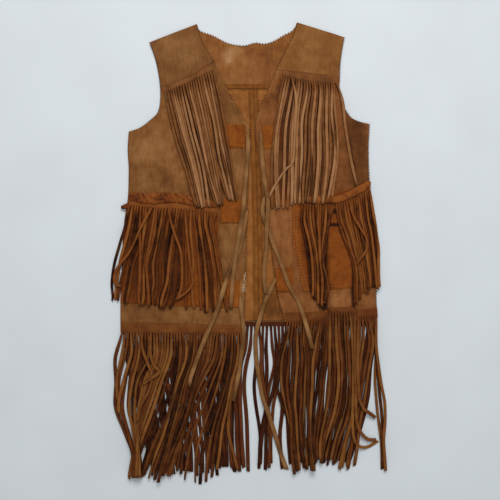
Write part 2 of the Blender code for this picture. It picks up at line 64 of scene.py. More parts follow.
camera = add_object("camera", bpy.data.cameras.new("camera"))
camera.data.lens = 50
camera.data.sensor_width = 36
camera.location = (0.0029, 0.0088, PICTURE_SPAN * camera.data.lens / camera.data.sensor_width)
scene.camera = camera


# The floor: a plain white cotton cloth, matt, slightly cool in colour, with a weave too fine to see.
# It lies under everything and isn't part of the vest.
MM = 0.001


def linear(hex_colour):
    """An sRGB hex colour as linear red, green, blue and alpha."""
    shares = [int(hex_colour[start : start + 2], 16) / 255 for start in (1, 3, 5)]
    return (*(s / 12.92 if s <= 0.04045 else ((s + 0.055) / 1.055) ** 2.4 for s in shares), 1.0)


def plug(material, node, sockets):
    """Fills a node's input sockets, or links them to other nodes."""
    for name, value in sockets.items():
        if isinstance(value, bpy.types.NodeSocket):
            material.node_tree.links.new(value, node.inputs[name])
        else:
            node.inputs[name].default_value = value


def add_node(material, kind, sockets, stops=(), **settings):
    """Adds a node, sets it up, and fills or links its input sockets."""
    node = material.node_tree.nodes.new(kind)
    for name, value in settings.items():
        setattr(node, name, value)
    for position, colour in stops:
        elements = node.color_ramp.elements
        stop = elements.new(position) if position not in (0, 1) else elements[-int(position)]
        stop.color = linear(colour)
    plug(material, node, sockets)
    return node


def matt_material(name, surface):
    """A new material, and its surface shader filled in."""
    material = bpy.data.materials.new(name)
    material.use_nodes = True
    shader = material.node_tree.nodes["Principled BSDF"]
    plug(material, shader, surface)
    return material, shader


cotton, cotton_shader = matt_material(
    "plain_white_cotton", {"Roughness": 0.95, "Specular IOR Level": 0.2}
)
cotton_place = add_node(cotton, "ShaderNodeTexCoord", {}).outputs["Object"]
# Soft unevenness of the cloth, about 160 mm across.
cotton_cloud = add_node(
    cotton, "ShaderNodeTexNoise", {"Vector": cotton_place, "Scale": 1000 / 160, "Detail": 2.0}
)
cotton_tint = add_node(
    cotton,
    "ShaderNodeValToRGB",
    {"Fac": cotton_cloud.outputs["Fac"]},
    stops=((0, "#cfd3d6"), (1, "#dce1e3")),
)
plug(cotton, cotton_shader, {"Base Color": cotton_tint.outputs["Color"]})
floor_mesh = bmesh.new()
bmesh.ops.create_grid(floor_mesh, x_segments=1, y_segments=1, size=2.5)
bmesh.ops.translate(floor_mesh, verts=floor_mesh.verts, vec=(0, 0, -0.3 * MM))
floor_data = bpy.data.meshes.new("floor")
floor_mesh.to_mesh(floor_data)
floor_mesh.free()
floor_data.materials.append(cotton)
add_object("floor", floor_data)

# The light: a big soft box beyond the neck, a weaker one from the hem side, and an even pale room.
room = bpy.data.worlds.new("room")
room.use_nodes = True
room_light = room.node_tree.nodes["Background"].inputs
room_light["Color"].default_value = linear("#e9eef2")
room_light["Strength"].default_value = 0.45
scene.world = room
for lamp_name, place, size, power in (
    ("window_light", (0.1, 1.4, 2.2), 1.1, 44.0),
    ("fill_light", (0.7, -1.0, 2.4), 1.6, 6.0),
):
    lamp = add_object(lamp_name, bpy.data.lights.new(lamp_name, "AREA"))
    lamp.data.shape = "SQUARE"
    lamp.data.size = size
    lamp.data.energy = power
    lamp.location = place
    lamp.rotation_euler = (-Vector(place)).to_track_quat("-Z", "Y").to_euler()
scene.view_settings.view_transform = "Standard"


# The back: three panels of brushed split suede, wrong side up between the fronts, cut with pinking
# shears round the neck. They lie flat on the floor, joined by one seam across and one down the middle.
def split_leather(name, surface, marks, patterns, stops, grain_depth, grain_reach):
    """Matt split leather, toned by marks on its mesh and by patterns, the last of which is its grain."""
    roughness, gloss, sheen, sheen_roughness = surface
    material, shader = matt_material(
        name,
        {
            "Roughness": roughness,
            "Specular IOR Level": gloss,
            "Sheen Weight": sheen,
            "Sheen Roughness": sheen_roughness,
            "Sheen Tint": linear(stops[3][1]),
        },
    )
    place = add_node(material, "ShaderNodeTexCoord", {}).outputs["Object"]
    layers = [
        (add_node(material, "ShaderNodeAttribute", {}, attribute_name=mark), share)
        for mark, share in marks
    ]
    for size, stretch, detail, roughness, share in patterns:
        run = add_node(material, "ShaderNodeMapping", {"Vector": place, "Scale": (1.0, 1 / stretch, 1.0)})
        sockets = {
            "Vector": run.outputs["Vector"],
            "Scale": 1000 / size,
            "Detail": detail,
            "Roughness": roughness,
        }
        layers.append((add_node(material, "ShaderNodeTexNoise", sockets), share))
    total = 0.0
    for layer, share in layers:
        sockets = {0: layer.outputs["Fac"], 1: share, 2: total}
        total = add_node(material, "ShaderNodeMath", sockets, operation="MULTIPLY_ADD").outputs["Value"]
    tint = add_node(material, "ShaderNodeValToRGB", {"Fac": total}, stops=stops)
    grain = {"Height": layer.outputs["Fac"], "Strength": grain_depth, "Distance": grain_reach * MM}
    bump = add_node(material, "ShaderNodeBump", grain)
    plug(material, shader, {"Base Color": tint.outputs["Color"], "Normal": bump.outputs["Normal"]})
    return material


def suede(name, dark, middle, light, bare=None, cloud_mm=24, grain_mm=2.4, grain_depth=0.5, sheen=0.1):
    """Brushed suede: cloudy where the nap lies this way and that, lighter where it is worn, and darker
    where shade is painted in.
    """
    # Each pattern has its size in mm, how far it is drawn out down the vest, its detail, its
    # roughness and its share: clouds, brush strokes 5 mm wide, and grain. The real grain is under
    # 1 mm, and is drawn as coarse as it needs to show.
    return split_leather(
        name,
        (0.92, 0.18, sheen, 0.45),
        marks=(("wear_and_shade", 1.0),),
        patterns=((cloud_mm, 1, 5.0, 0.58, 0.5), (5, 4, 2.0, 0.5, 0.22), (grain_mm, 1, 3.0, 0.7, 0.28)),
        # The darkest stop, at 0, is where painted shade takes the suede below its own dark tone.
        stops=((0, "#2c1406"), (0.32, dark), (0.5, middle), (0.68, light), (1, bare or light)),
        grain_depth=grain_depth,
        grain_reach=0.8,
    )


def smooth(t):
    """A soft rise from 0 to 1."""
    t = min(max(t, 0.0), 1.0)
    return t * t * (3 - 2 * t)


def blend(a, b, t):
    """What lies this share of the way from a to b."""
    return a + (b - a) * t


def curve_spans(points, corners=()):
    """Each span of a smooth line through the points, as the four points of a Bezier curve."""
    knots = [Vector((*point, 0)) for point in points]
    spans = []
    for index, (start, end) in enumerate(zip(knots, knots[1:])):
        run = end - start
        handles = []
        for knot in (index, index + 1):
            if knot in corners or knot in (0, len(knots) - 1):
                handles.append(run / 3)
            else:
                before, after = knots[knot - 1], knots[knot + 1]
                round_it = (knots[knot] - before).length + (after - knots[knot]).length
                handles.append((after - before) * (run.length / round_it / 3))
        spans.append((start, start + handles[0], end - handles[1], end))
    return spans


TOOTH = 5.6  # from point to point of the pinking shears' teeth
TOOTH_DEPTH = 4.2
CELL = 4.0  # cloth is drawn in cells of this width


def facing_places(first, second, corners=()):
    """Facing places down two edges, half a tooth apart, with each one's share of its span."""
    pairs = []
    spans = list(zip(curve_spans(first, corners), curve_spans(second, corners)))
    for number, (near, far) in enumerate(spans):
        length = max((near[3] - near[0]).length, (far[3] - far[0]).length)
        steps = max(round(length / (TOOTH / 2)), 1)
        facing = zip(interpolate_bezier(*near, steps + 1), interpolate_bezier(*far, steps + 1))
        for step, (a, b) in enumerate(facing):
            if step or not number:
                pairs.append((a, b, number + step / steps))
    return pairs


def shaped_grid(columns, rows, place, marks=(), slit=None):
    """A sheet of cells. place gives each corner's place and marks, and slit the cells that are cut out."""
    mesh = bmesh.new()
    bmesh.ops.create_grid(mesh, x_segments=columns, y_segments=rows, size=0.5)
    if slit:
        middles = [(face, face.calc_center_median()) for face in mesh.faces]
        gone = [
            face
            for face, middle in middles
            if slit(int((middle.x + 0.5) * columns), int((0.5 - middle.y) * rows))
        ]
        bmesh.ops.delete(mesh, geom=gone, context="FACES")
    layers = [mesh.verts.layers.float.new(mark) for mark in marks]
    for vert in mesh.verts:
        column, row = round((vert.co.x + 0.5) * columns), round((0.5 - vert.co.y) * rows)
        vert.co, *values = place(column, row)
        for layer, value in zip(layers, values):
            vert[layer] = value
    return mesh


def lay_cloth(first, second, shape, corners=(), pinked_first=None, pinked_second=None):
    """A sheet between two edges. shape gives each point's place, from its place and its share across."""
    pairs = facing_places(first, second, corners)
    rows = len(pairs) - 1
    cells = max(round(max((b - a).length for a, b, _ in pairs) / CELL), 2)

    def place_corner(column, row):
        near, far, span = pairs[row]
        place = near.lerp(far, column / cells)
        across = (far - near).normalized()
        if row % 2 and column == 0 and pinked_first and pinked_first(near):
            place += across * TOOTH_DEPTH
        if row % 2 and column == cells and pinked_second and pinked_second(far):
            place -= across * TOOTH_DEPTH
        return (Vector(shape(place.x, place.y, column / cells, near, far, span)) * MM,)

    mesh = shaped_grid(cells, rows, place_corner)
    mesh.normal_update()
    if sum(face.normal.z for face in mesh.faces) < 0:
        bmesh.ops.reverse_faces(mesh, faces=mesh.faces[:])
    return mesh


def line_distance(x, y, x0, y0, x1, y1):
    """How far a place is from the line between two others."""
    run_x, run_y = x1 - x0, y1 - y0
    share = ((x - x0) * run_x + (y - y0) * run_y) / max(run_x**2 + run_y**2, 1e-9)
    share = min(max(share, 0.0), 1.0)
    return math.hypot(x - x0 - share * run_x, y - y0 - share * run_y)


def rub_and_shade(mesh, spots):
    """Marks where the nap is rubbed lighter, and where shade is painted darker: a spot or a line, its
    reach, its amount.
    """
    wear_and_shade = mesh.verts.layers.float.new("wear_and_shade")
    lines = [((*ends, *ends) if len(ends) == 2 else ends, reach, amount) for *ends, reach, amount in spots]
    for vert in mesh.verts:
        x, y = vert.co.x / MM, vert.co.y / MM
        vert[wear_and_shade] = sum(
            amount * smooth(1 - line_distance(x, y, *ends) / reach) for ends, reach, amount in lines
        )


def make_piece(name, mesh, material, wall, stands_for=(), cut_material=None):
    """Makes the shaped sheet a piece of the vest, with its leather's thickness drawn upwards."""
    for face in mesh.faces:
        face.smooth = True
    data = bpy.data.meshes.new(name)
    mesh.to_mesh(data)
    mesh.free()
    data.materials.append(material)
    piece = add_object(name, data)
    if wall:
        thickness = piece.modifiers.new("leather_thickness", "SOLIDIFY")
        thickness.thickness = wall * MM
        thickness.offset = 1.0
        if cut_material:
            data.materials.append(cut_material)
            thickness.material_offset_rim = 1
    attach(piece, "root")
    if stands_for:
        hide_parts(*stands_for)
    return piece


def directions(line):
    """The way ahead and the way to the left at each place of a line."""
    ahead = np.gradient(line, axis=0)
    ahead /= np.linalg.norm(ahead, axis=1)[:, None]
    return ahead, np.stack((-ahead[:, 1], ahead[:, 0]), axis=1)


class Ground:
    """The heights in millimetres of what is laid so far, on a net of 2 mm cells."""

    STEP = 2.0
    LEFT, FOOT = -310.0, -480.0
    CELLS = 490, 310  # rows up the vest, and columns across it
    REACH = 4  # a strip bends over this many cells
    SLOPE = 0.7  # and rises or falls by at most this much in one
    SLACK = 0.15  # the air under a strand
    LEAN = 0.45  # a strip leans by at most this much on what slopes under it
    PILE = 9.8  # strands nest into a pile that is this high,
    NESTED = 0.2  # and then raise it by only this share of their wall

    def __init__(self):
        self.heights = np.zeros(self.CELLS)
        self.start_pile()

    def start_pile(self):
        """From here on, strands pile up on what lies now."""
        self.base = self.heights.copy()

    def cells(self, x, y):
        """The rows and columns of the cells at these places."""
        columns = np.clip(((x - self.LEFT) / self.STEP).astype(int), 0, self.heights.shape[1] - 1)
        rows = np.clip(((y - self.FOOT) / self.STEP).astype(int), 0, self.heights.shape[0] - 1)
        return rows, columns

    def add_cloth(self, mesh, wall):
        """Raises the heights to the top of a panel that has this wall."""
        tree = BVHTree.FromBMesh(mesh)
        corners = np.array([vert.co[:2] for vert in mesh.verts]) / MM
        (low_row, high_row), (low_column, high_column) = self.cells(
            *np.array([corners.min(axis=0), corners.max(axis=0)]).T
        )
        for row in range(low_row, high_row + 1):
            for column in range(low_column, high_column + 1):
                x = self.LEFT + (column + 0.5) * self.STEP
                y = self.FOOT + (row + 0.5) * self.STEP
                hit = tree.ray_cast(Vector((x * MM, y * MM, 1)), Vector((0, 0, -1)))[0]
                if hit:
                    top = hit.z / MM + wall
                    self.heights[row, column] = max(self.heights[row, column], top)

    def top(self, x, y, reach=3.0):
        """The highest place near here."""
        across = np.arange(-reach, reach + 0.1, self.STEP)
        rows, columns = self.cells(x + across, y + across)
        return float(self.heights[np.ix_(rows, columns)].max())

    def ease(self, bed):
        """The height of a strip that can't follow every step of what it lies on."""
        wide = np.pad(bed, self.REACH, mode="edge")
        bed = np.max([wide[start : start + len(bed)] for start in range(2 * self.REACH + 1)], axis=0)
        for order in (range(1, len(bed)), range(len(bed) - 2, -1, -1)):
            step = order.step
            for index in order:
                bed[index] = max(bed[index], bed[index - step] - self.SLOPE)
        window = np.ones(2 * self.REACH + 1) / (2 * self.REACH + 1)
        return np.convolve(np.pad(bed, self.REACH, mode="edge"), window, mode="valid")

    def rest(self, line, half_width, wall, rise=0.0):
        """Lays a strip along the line, and gives the heights and the sideways slopes of its underside."""
        _, side = directions(line)
        offsets = np.linspace(-half_width, half_width, 5)[:, None]
        spots = line[None] + offsets[..., None] * side[None]
        rows, columns = self.cells(spots[..., 0], spots[..., 1])
        under = self.heights[rows, columns]
        right, left = self.ease(under[:2].max(axis=0)), self.ease(under[3:].max(axis=0))
        slope = np.clip((left - right) / (2 * half_width), -self.LEAN, self.LEAN)
        bed = np.maximum((left + right) / 2, self.ease(under[2])) + self.SLACK + rise
        pile = bed - rise - self.ease(self.base[rows, columns].max(axis=0))
        step = wall * np.clip(1 - pile / self.PILE, self.NESTED, 1.0)
        tops = np.maximum(bed + offsets * slope + step, under)
        np.maximum.at(self.heights, (rows, columns), tops)
        return bed, slope


ground = Ground()
LEATHER = 1.5
HALF_GAP = 0.15  # panels that meet at a seam are 0.3 mm apart
SEAM_Y = 325.0
BACK_HEM_Y = -130.0
SHOULDERS_AND_NECK = (
    (-189, 410), (-147, 427), (-100, 448), (-95, 438), (-69, 428), (-42, 414), (-20, 409), (-5, 409),
    (13, 414), (30, 412), (46, 416), (67, 428), (85, 438), (94, 451), (141, 433), (183, 420),
)  # fmt: skip
BACK_SIDE_LEFT = ((-168, 324.7), (-168, 301), (-173, 273), (-188, 258), (-210, 243), (-231, 235),
                  (-235, 204), (-233, 165), (-235, 106), (-241, 67), (-245, 9), (-247, -50),
                  (-249, -93), (-249, -130))  # fmt: skip
BACK_SIDE_RIGHT = ((173, 324.7), (177, 293), (186, 278), (199, 262), (217, 254), (232, 251),
                   (231, 204), (233, 145), (237, 106), (244, 64), (250, 20), (250, -40),
                   (246, -89), (251, -130))  # fmt: skip
CENTRE_SEAM = ((9, 325), (11, 282), (17, 106), (20, -130))


def at_height(line, y):
    """The x of a line that runs down the vest, where it passes this y."""
    return float(np.interp(y, *zip(*((place_y, x) for x, place_y in reversed(line)))))


RIPPLE = 0.35
RIPPLE_REACH = 175  # from the middle, and beyond it the back lies under the sides of the fronts


def flat_on_floor(x, y, *_):
    """The back ripples a little in the middle, and lies quite flat at the sides."""
    ripple = 0.5 + noise.noise(Vector((x / 60, y / 60, 3.0)))
    return x, y, RIPPLE * max(ripple, 0) * smooth((RIPPLE_REACH - abs(x)) / 40)


panels = {}


def lay_panel(name, cloth, leather, cut, spots):
    """Lays a panel that is rubbed and shaded at these spots, and keeps its mesh, its area and its flat
    size.
    """
    rub_and_shade(cloth, spots)
    panels[name] = cloth.copy(), sum(face.calc_area() for face in cloth.faces), cut
    ground.add_cloth(cloth, LEATHER)
    make_piece(f"suede_{name}", cloth, leather, LEATHER, (name,))


left_x, right_x = SHOULDERS_AND_NECK[0][0], SHOULDERS_AND_NECK[-1][0]
shares = [(x - left_x) / (right_x - left_x) for x, _ in SHOULDERS_AND_NECK]
lay_panel(
    "back_yoke",
    lay_cloth(
        SHOULDERS_AND_NECK,
        [(blend(BACK_SIDE_LEFT[0][0], BACK_SIDE_RIGHT[0][0], t), SEAM_Y + HALF_GAP) for t in shares],
        flat_on_floor,
        corners=(2, 13),
        pinked_first=lambda place: -100 < place.x < 94,
    ),
    suede("brushed_suede_back_yoke", "#69391a", "#804e23", "#926136", bare="#b0865e"),
    (0.382, 0.126),
    # The last spot, at (32, 390), is painted shade beside a soft fold.
    ((-28, 400, 20, 0.24), (-41, 388, 22, 0.26), (-33, 377, 17, 0.18), (-20, 350, 60, 0.08),
     (-12, 398, 9, 0.16), (32, 390, 50, -0.06)),
)  # fmt: skip
back_suede = suede("brushed_suede_back", "#6c3e17", "#8e5726", "#9d6936")
for name, lines, shift, armhole_y, spots in (
    ("back_left", (BACK_SIDE_LEFT, CENTRE_SEAM), -HALF_GAP, 235, ((-20, 290, 60, -0.06),)),
    (
        "back_right", (CENTRE_SEAM, BACK_SIDE_RIGHT), HALF_GAP, 251,
        # The last spot, at (40, -100), is painted shade where the back lies in shadow between the fronts.
        ((28, 280, 40, -0.06), (28, 0, 50, -0.04), (40, -100, 60, -0.22)),
    ),
):  # fmt: skip
    top = SEAM_Y - 2 * HALF_GAP
    levels = sorted({y for line in lines for _, y in line if y < top} | {top}, reverse=True)
    edges = [
        [(at_height(line, y) + (shift if line is CENTRE_SEAM else 0), y) for y in levels]
        for line in lines
    ]
    cloth = lay_cloth(*edges, flat_on_floor, corners=[levels.index(armhole_y)])
    lay_panel(name, cloth, back_suede, (0.27, 0.455), spots)


# The seam allowances: the cut edges of the seams inside the back, skived thin, pressed open and held
# by two rows of stitching. They are the stripes down the middle and under the neck.
SKIVED = 1.2
ALLOWANCE = 8.5
seam_suede = suede("pressed_seam_suede", "#572c0e", "#7b4716", "#8e5926", cloud_mm=14)


def pressed_open(x, y, across, *_):
    """An allowance lies on the back, with its two edges curled up a little."""
    curl = 0.8 * abs(2 * across - 1) ** 3 + 0.3 * noise.noise(Vector((x / 9, y / 24, 1.0)))
    return x, y, LEATHER + 0.5 + max(curl, 0)


down = [(x, min(max(y, BACK_HEM_Y + 1), SEAM_Y - ALLOWANCE / 2)) for x, y in CENTRE_SEAM]
for name, first, second in (
    ("centre_left", [(x - ALLOWANCE, y) for x, y in down], [(x - HALF_GAP, y) for x, y in down]),
    ("centre_right", [(x + HALF_GAP, y) for x, y in down], [(x + ALLOWANCE, y) for x, y in down]),
    (
        "yoke",
        [(x, SEAM_Y + rise) for x, rise in ((-136, 6), (0, 6.5), (142, 6))],
        [(x, SEAM_Y + rise) for x, rise in ((-136, -3), (0, -2.6), (142, -3))],
    ),
):
    fold = lay_cloth(first, second, pressed_open)
    rub_and_shade(fold, ())
    ground.add_cloth(fold, SKIVED)
    make_piece(f"pressed_seam_{name}", fold, seam_suede, SKIVED, (f"seam_{name}",))


# The thread: each seam is sewn by machine with dark rust thread, in stitches 3 mm long that sink into
# the suede. Where the pocket was sewn on again, the thread is pale and the stitches are longer.
def sewing_thread(name, colour):
    """Matt cotton thread of one even colour."""
    surface = {"Base Color": linear(colour), "Roughness": 0.8, "Specular IOR Level": 0.2}
    return matt_material(name, surface)[0]


def even_line(points, step, corners=()):
    """Places at even steps down a smooth line through the points."""
    fine = []
    for span in curve_spans(points, corners):
        fine += [place[:2] for place in interpolate_bezier(*span, 17)[bool(fine) :]]
    fine = np.array(fine)
    length = np.concatenate(([0], np.cumsum(np.linalg.norm(np.diff(fine, axis=0), axis=1))))
    even = np.linspace(0, length[-1], max(round(length[-1] / step), 4) + 1)
    return np.stack([np.interp(even, length, fine[:, axis]) for axis in (0, 1)], axis=1)


def sew(name, thread, runs, pitch=4.4, length=3.2, width=1.1, stands=0.5):
    """Stitches along each run of places, on the leather that is there."""
    play = random.Random(name)
    mesh = bmesh.new()
    for run in runs:
        places = even_line(run, pitch, corners=range(len(run)))
        for (x, y), (next_x, next_y) in zip(places, places[1:]):
            ahead = Vector((next_x - x, next_y - y, 0)).normalized()
            ahead.rotate(Euler((0, 0, play.uniform(-0.12, 0.12))))
            side = Vector((-ahead.y, ahead.x, 0))
            middle = Vector((x, y, ground.top(x, y, 1.0) + play.uniform(0.0, 0.15) + stands / 2))
            # The thread that shows is a low pyramid, as long and as wide as the stitch.
            axes = Matrix((ahead * length / 2, side * width / 2, (0, 0, stands))).transposed()
            bmesh.ops.create_cone(
                mesh,
                cap_ends=True,
                segments=4,
                radius1=1,
                radius2=0,
                depth=1,
                matrix=Matrix.Scale(MM, 4) @ Matrix.Translation(middle) @ axes.to_4x4(),
            )
    make_piece(name, mesh, thread, 0)


rust_thread = sewing_thread("dark_rust_thread", "#3c1a07")
pale_thread = sewing_thread("pale_cotton_thread", "#b98d60")
sew("thread_yoke_seam", rust_thread, [((-130, y), (136, y)) for y in (329.5, 319.5)])
sew(
    "thread_centre_seam",
    rust_thread,
    [[(x + shift, min(y, 316)) for x, y in CENTRE_SEAM] for shift in (-9.5, 8.0)],
)
sew("thread_back_hem", rust_thread, [((-244, y), (247, y)) for y in (-123, -127.5)])


# The fringes: strips of suede with slits cut up from their lower edge, which leave strands about 5 mm
# wide. Each strand lies as it fell: bent, sometimes half turned over, and piled on the ones below.
def split_suede_strands(name, dark, middle, light):
    """Cut strands: rubbed lighter along some faces, with painted shade along their edges where they curl
    down.
    """
    # Blotches down a strand are about 16 mm long, and the grain is drawn at 2 mm.
    return split_leather(
        name,
        (0.9, 0.12, 0.04, 0.4),
        marks=(("tone", 1.0), ("edge_shade", -0.5)),
        patterns=((16, 1, 3.0, 0.5, 0.4), (2, 1, 2.0, 0.7, 0.35)),
        stops=((0, dark), (0.25, dark), (0.55, middle), (0.85, light), (1, light)),
        grain_depth=0.6,
        grain_reach=0.7,
    )


def along(points, fraction):
    """The place this far along an open line, by its length."""
    lengths = [math.dist(a, b) for a, b in zip(points, points[1:])]
    left = fraction * sum(lengths)
    for a, b, length in zip(points, points[1:], lengths):
        if left <= length or b is points[-1]:
            return blend(a[0], b[0], left / length), blend(a[1], b[1], left / length)
        left -= length


def across_row(row, fraction):
    """The place in a row of places, each one given as its fraction across, x and y."""
    for a, b in zip(row, row[1:]):
        if fraction <= b[0]:
            break
    share = (fraction - a[0]) / (b[0] - a[0])
    return blend(a[1], b[1], share), blend(a[2], b[2], share)


def guide_rows(levels, guides):
    """Rows of places from guides, each a strand's fraction, its x at each level, and its tip's x and y."""
    rows = [
        tuple((guide[0], guide[number], level) for guide in guides)
        for number, level in enumerate(levels, 1)
    ]
    return (*rows, tuple((guide[0], *guide[-2:]) for guide in guides))


STRAND_WALL = 1.2
STRAND_FILL = 0.72  # share of the root line that is strand, the rest is slit
STRIP_ROWS = 3
STRIP_SLACK = 0.2  # the air under the strip
ACROSS = (-1.0, -0.78, 0.78, 1.0)  # a strand's flat face and its two shoulders, in half widths
SHOULDER = 0.2  # the flat face stands this much over the shoulders
STEEPEST = 1.35  # a strand turns by at most this angle
LOOSE_RUN = 60.0  # it comes loose of its root over this length
TURN_RUN = 34.0  # where it turns over, it does so in this length
LIFT_FADE = 90.0  # the strip's lift dies out over this length
BUNDLES = 260 / 30  # neighbours sway together in about this many bundles
GOLDEN_SHARE = 0.618
# A cut through the hide is raw and fuzzy, which looks paler and greyer than its faces.
raw_edge = split_suede_strands("raw_cut_edge", "#5d3a1e", "#83603f", "#a5855f")


def strand_routes(count, roots, rows, wander, tip, seed, placed):
    """Where each strand runs: down from its root past its place in each row, unless its places are given.
    """
    fall = random.Random(seed)
    routes = []
    for index in range(count):
        fraction = (index + 0.5) / count
        places, drift = [along(roots, fraction)], 0.0
        for number, row in enumerate(rows, 1):
            x, y = across_row(row, fraction)
            drift = 0.5 * drift + fall.uniform(-1, 1) * wander
            end = fall.uniform(-1, 1) * tip if number == len(rows) else 0
            places.append((x + drift * number / len(rows), y + end))
        if index in placed:
            places[1:] = placed[index]
        routes.append(places)
    return routes


def lay_strip(count, upper, roots, lift):
    """The strip that the strands are cut from, as rows of places from its upper edge to the roots."""
    posts = [0.0]
    for index in range(count):
        posts += [(index + 0.5 + side * STRAND_FILL / 2) / count for side in ACROSS]
    posts.append(1.0)
    strip = []
    for row in range(STRIP_ROWS + 1):
        places = []
        for post in posts:
            (x0, y0), (x1, y1) = along(upper, post), along(roots, post)
            x, y = blend(x0, x1, row / STRIP_ROWS), blend(y0, y1, row / STRIP_ROWS)
            places.append((x, y, ground.top(x, y) + STRIP_SLACK + lift * row / STRIP_ROWS))
        strip.append(places)
    for x, y, z in (place for places in strip for place in places):
        ground.heights[ground.cells(np.array([x]), np.array([y]))] = z + STRAND_WALL - lift
    return strip


def cut_fringe(name, leather, count, width, upper, roots, rows, wander, tip, seed, steps=26,
               wave=1.2, crowd=4.0, roll=0.3, arch=2.5, tones=(0.0, 0.4), strip_tone=0.2, placed=(),
               over=0.0, lift=1.0, turned=0.42):  # fmt: skip
    """A strip with its strands, laid in the order in which they fell.

    wander and tip scatter the strands and their ends, wave and crowd sway them alone and together, roll
    leans them, arch lifts them off what they lie on, and turned is the share that may turn over. over
    piles one end of the row on the other, and lift raises the strip.
    """
    placed = dict(placed)
    ground.start_pile()
    routes = strand_routes(count, roots, rows, wander, tip, seed, placed)
    strip = lay_strip(count, upper, roots, lift)
    play = random.Random(seed + 100)
    # Neighbours fall in bundles, one bundle over the other, and the placed strands come last.
    fell = {
        index: noise.noise(Vector((index / 4, seed * 3.3, 0.5))) + over * index / count
        + play.uniform(-0.35, 0.35)
        for index in range(count)
    }  # fmt: skip
    laid, tone_of = {}, {}
    for index in sorted(range(count), key=lambda index: (index in placed, fell[index])):
        line = even_line(routes[index], Ground.STEP)
        reach = np.arange(len(line)) * Ground.STEP
        ahead, side = directions(line)
        # It sways on its own and with its neighbours, more and more as it comes loose of its root.
        loose = np.clip(reach / LOOSE_RUN, 0, 1) ** 1.5
        own, shared = (wave * 0.5, 0.0) if index in placed else (wave, crowd)
        sway = [
            own * noise.noise(Vector((s / 70, index * 7.3, seed)))
            + shared * noise.noise(Vector((index / count * BUNDLES, s / 120, seed + 0.5)))
            for s in reach
        ]
        line = line + side * (np.array(sway) * loose)[:, None]
        # It leans to a side, and may turn over in one place.
        lean = play.gauss(0, roll) + roll * noise.noise(Vector((index / 6, seed, 1.5)))
        turn_at, turn = play.uniform(0.25, 0.95) * reach[-1], 0.0
        if play.random() < turned and index not in placed:
            turn = play.choice((-1, 1)) * play.uniform(0.6, 1.3)
        angle = lean * loose + turn * np.exp(-(((reach - turn_at) / TURN_RUN) ** 2))
        half = width / 2 * play.uniform(0.84, 1.12)
        stands = play.uniform(0.1, 1.0) * arch
        air = [
            stands * max(noise.noise(Vector((s / 80, index * 5.1, seed + 2))) + 0.35, 0)
            for s in reach
        ]
        rise = half * np.abs(np.sin(angle)) + np.array(air) * loose + lift * np.exp(-reach / LIFT_FADE)
        heights, slopes = ground.rest(line, half, STRAND_WALL, rise)
        angle = np.clip(angle + slopes, -STEEPEST, STEEPEST)
        # Neighbours differ in tone: each step takes the golden share of the range.
        tone_of[index] = blend(*tones, (GOLDEN_SHARE * index + play.uniform(0, 0.45)) % 1)
        if index in placed:
            tone_of[index] = max(tone_of[index], 0.3)
        slant = play.uniform(-1.6, 1.6)
        for ring in range(1, steps + 1):
            sample = ring / steps * (len(line) - 1)
            low = min(int(sample), len(line) - 2)
            share = sample - low
            x, y = line[low] * (1 - share) + line[low + 1] * share
            z, tilt = (blend(values[low], values[low + 1], share) for values in (heights, angle))
            # A strand draws together under its root, and its end is cut a little askew.
            taper = 0.9 if ring == steps else blend(0.66, 1.0, smooth((ring - 1) / 4))
            for column, k in enumerate(ACROSS):
                out = k * half * taper * math.cos(tilt)
                cut = slant * k if ring == steps else 0.0
                height = z + k * half * math.sin(tilt) + (SHOULDER if abs(k) < 1 else 0.0)
                place = (x, y) + side[low] * out + ahead[low] * cut
                laid[index, ring, column] = (*place, max(height, 0.0))

    def place_corner(column, row):
        # The strip's last row gets a trace of painted edge shade, and each strand's outer edges get it in
        # full.
        if row <= STRIP_ROWS:
            return Vector(strip[row][column]) * MM, strip_tone, 0.1 if row == STRIP_ROWS else 0.0
        index, column = divmod(column - 1, len(ACROSS))
        tone = blend(strip_tone, tone_of[index], smooth((row - STRIP_ROWS) / 4))
        place = Vector(laid[index, row - STRIP_ROWS, column]) * MM
        return place, tone, 1.0 if abs(ACROSS[column]) == 1.0 else 0.0

    mesh = shaped_grid(
        len(ACROSS) * count + 1,
        STRIP_ROWS + steps,
        place_corner,
        marks=("tone", "edge_shade"),
        slit=lambda column, row: row >= STRIP_ROWS and column % len(ACROSS) == 0,
    )
    shown = name.replace("fringe", "strands")
    make_piece(shown, mesh, leather, STRAND_WALL, (name,), raw_edge)


BACK_GUIDES = (
    (0, -241, -238, -232, -222, -206, -190, -412),
    (0.25, -122, -121, -119, -116, -112, -106, -424),
    (0.42, -40, -40, -38, -36, -34, -30, -418),
    (0.506, 0, -6, -8, -9, -9, -5, -416),
    (0.522, 12, 14, 10, 10, 17, 19, -414),
    (0.54, 25, 27, 36, 41, 44, 46, -412),
    (0.56, 27, 26, 30, 33, 36, 39, -416),
    (0.584, 46, 49, 39, 33, 27, 23, -416),
    (0.602, 56, 54, 47, 37, 28, 24, -418),
    (0.64, 72, 71, 70, 72, 76, 84, -412),
    (0.8, 151, 149, 147, 143, 138, 132, -402),
    (1, 247, 243, 238, 232, 222, 202, -405),
)
cut_fringe(
    "fringe_hem_back",
    # A dark red suede, set darker still as painted shade, since this fringe lies under the front fringes.
    split_suede_strands("cut_dark_red_suede", "#1c0802", "#4a200c", "#653518"),
    count=66, width=6.8,
    upper=((-247, -130.3), (251, -130.3)),
    roots=((-247, -139), (251, -139)),
    rows=guide_rows((-180, -215, -260, -300, -350), BACK_GUIDES),
    wander=3.5, tip=9.0, seed=5, wave=2.0, crowd=7.0, tones=(-0.05, 0.4), strip_tone=0.15,
    roll=0.12, turned=0.12,
)  # fmt: skip


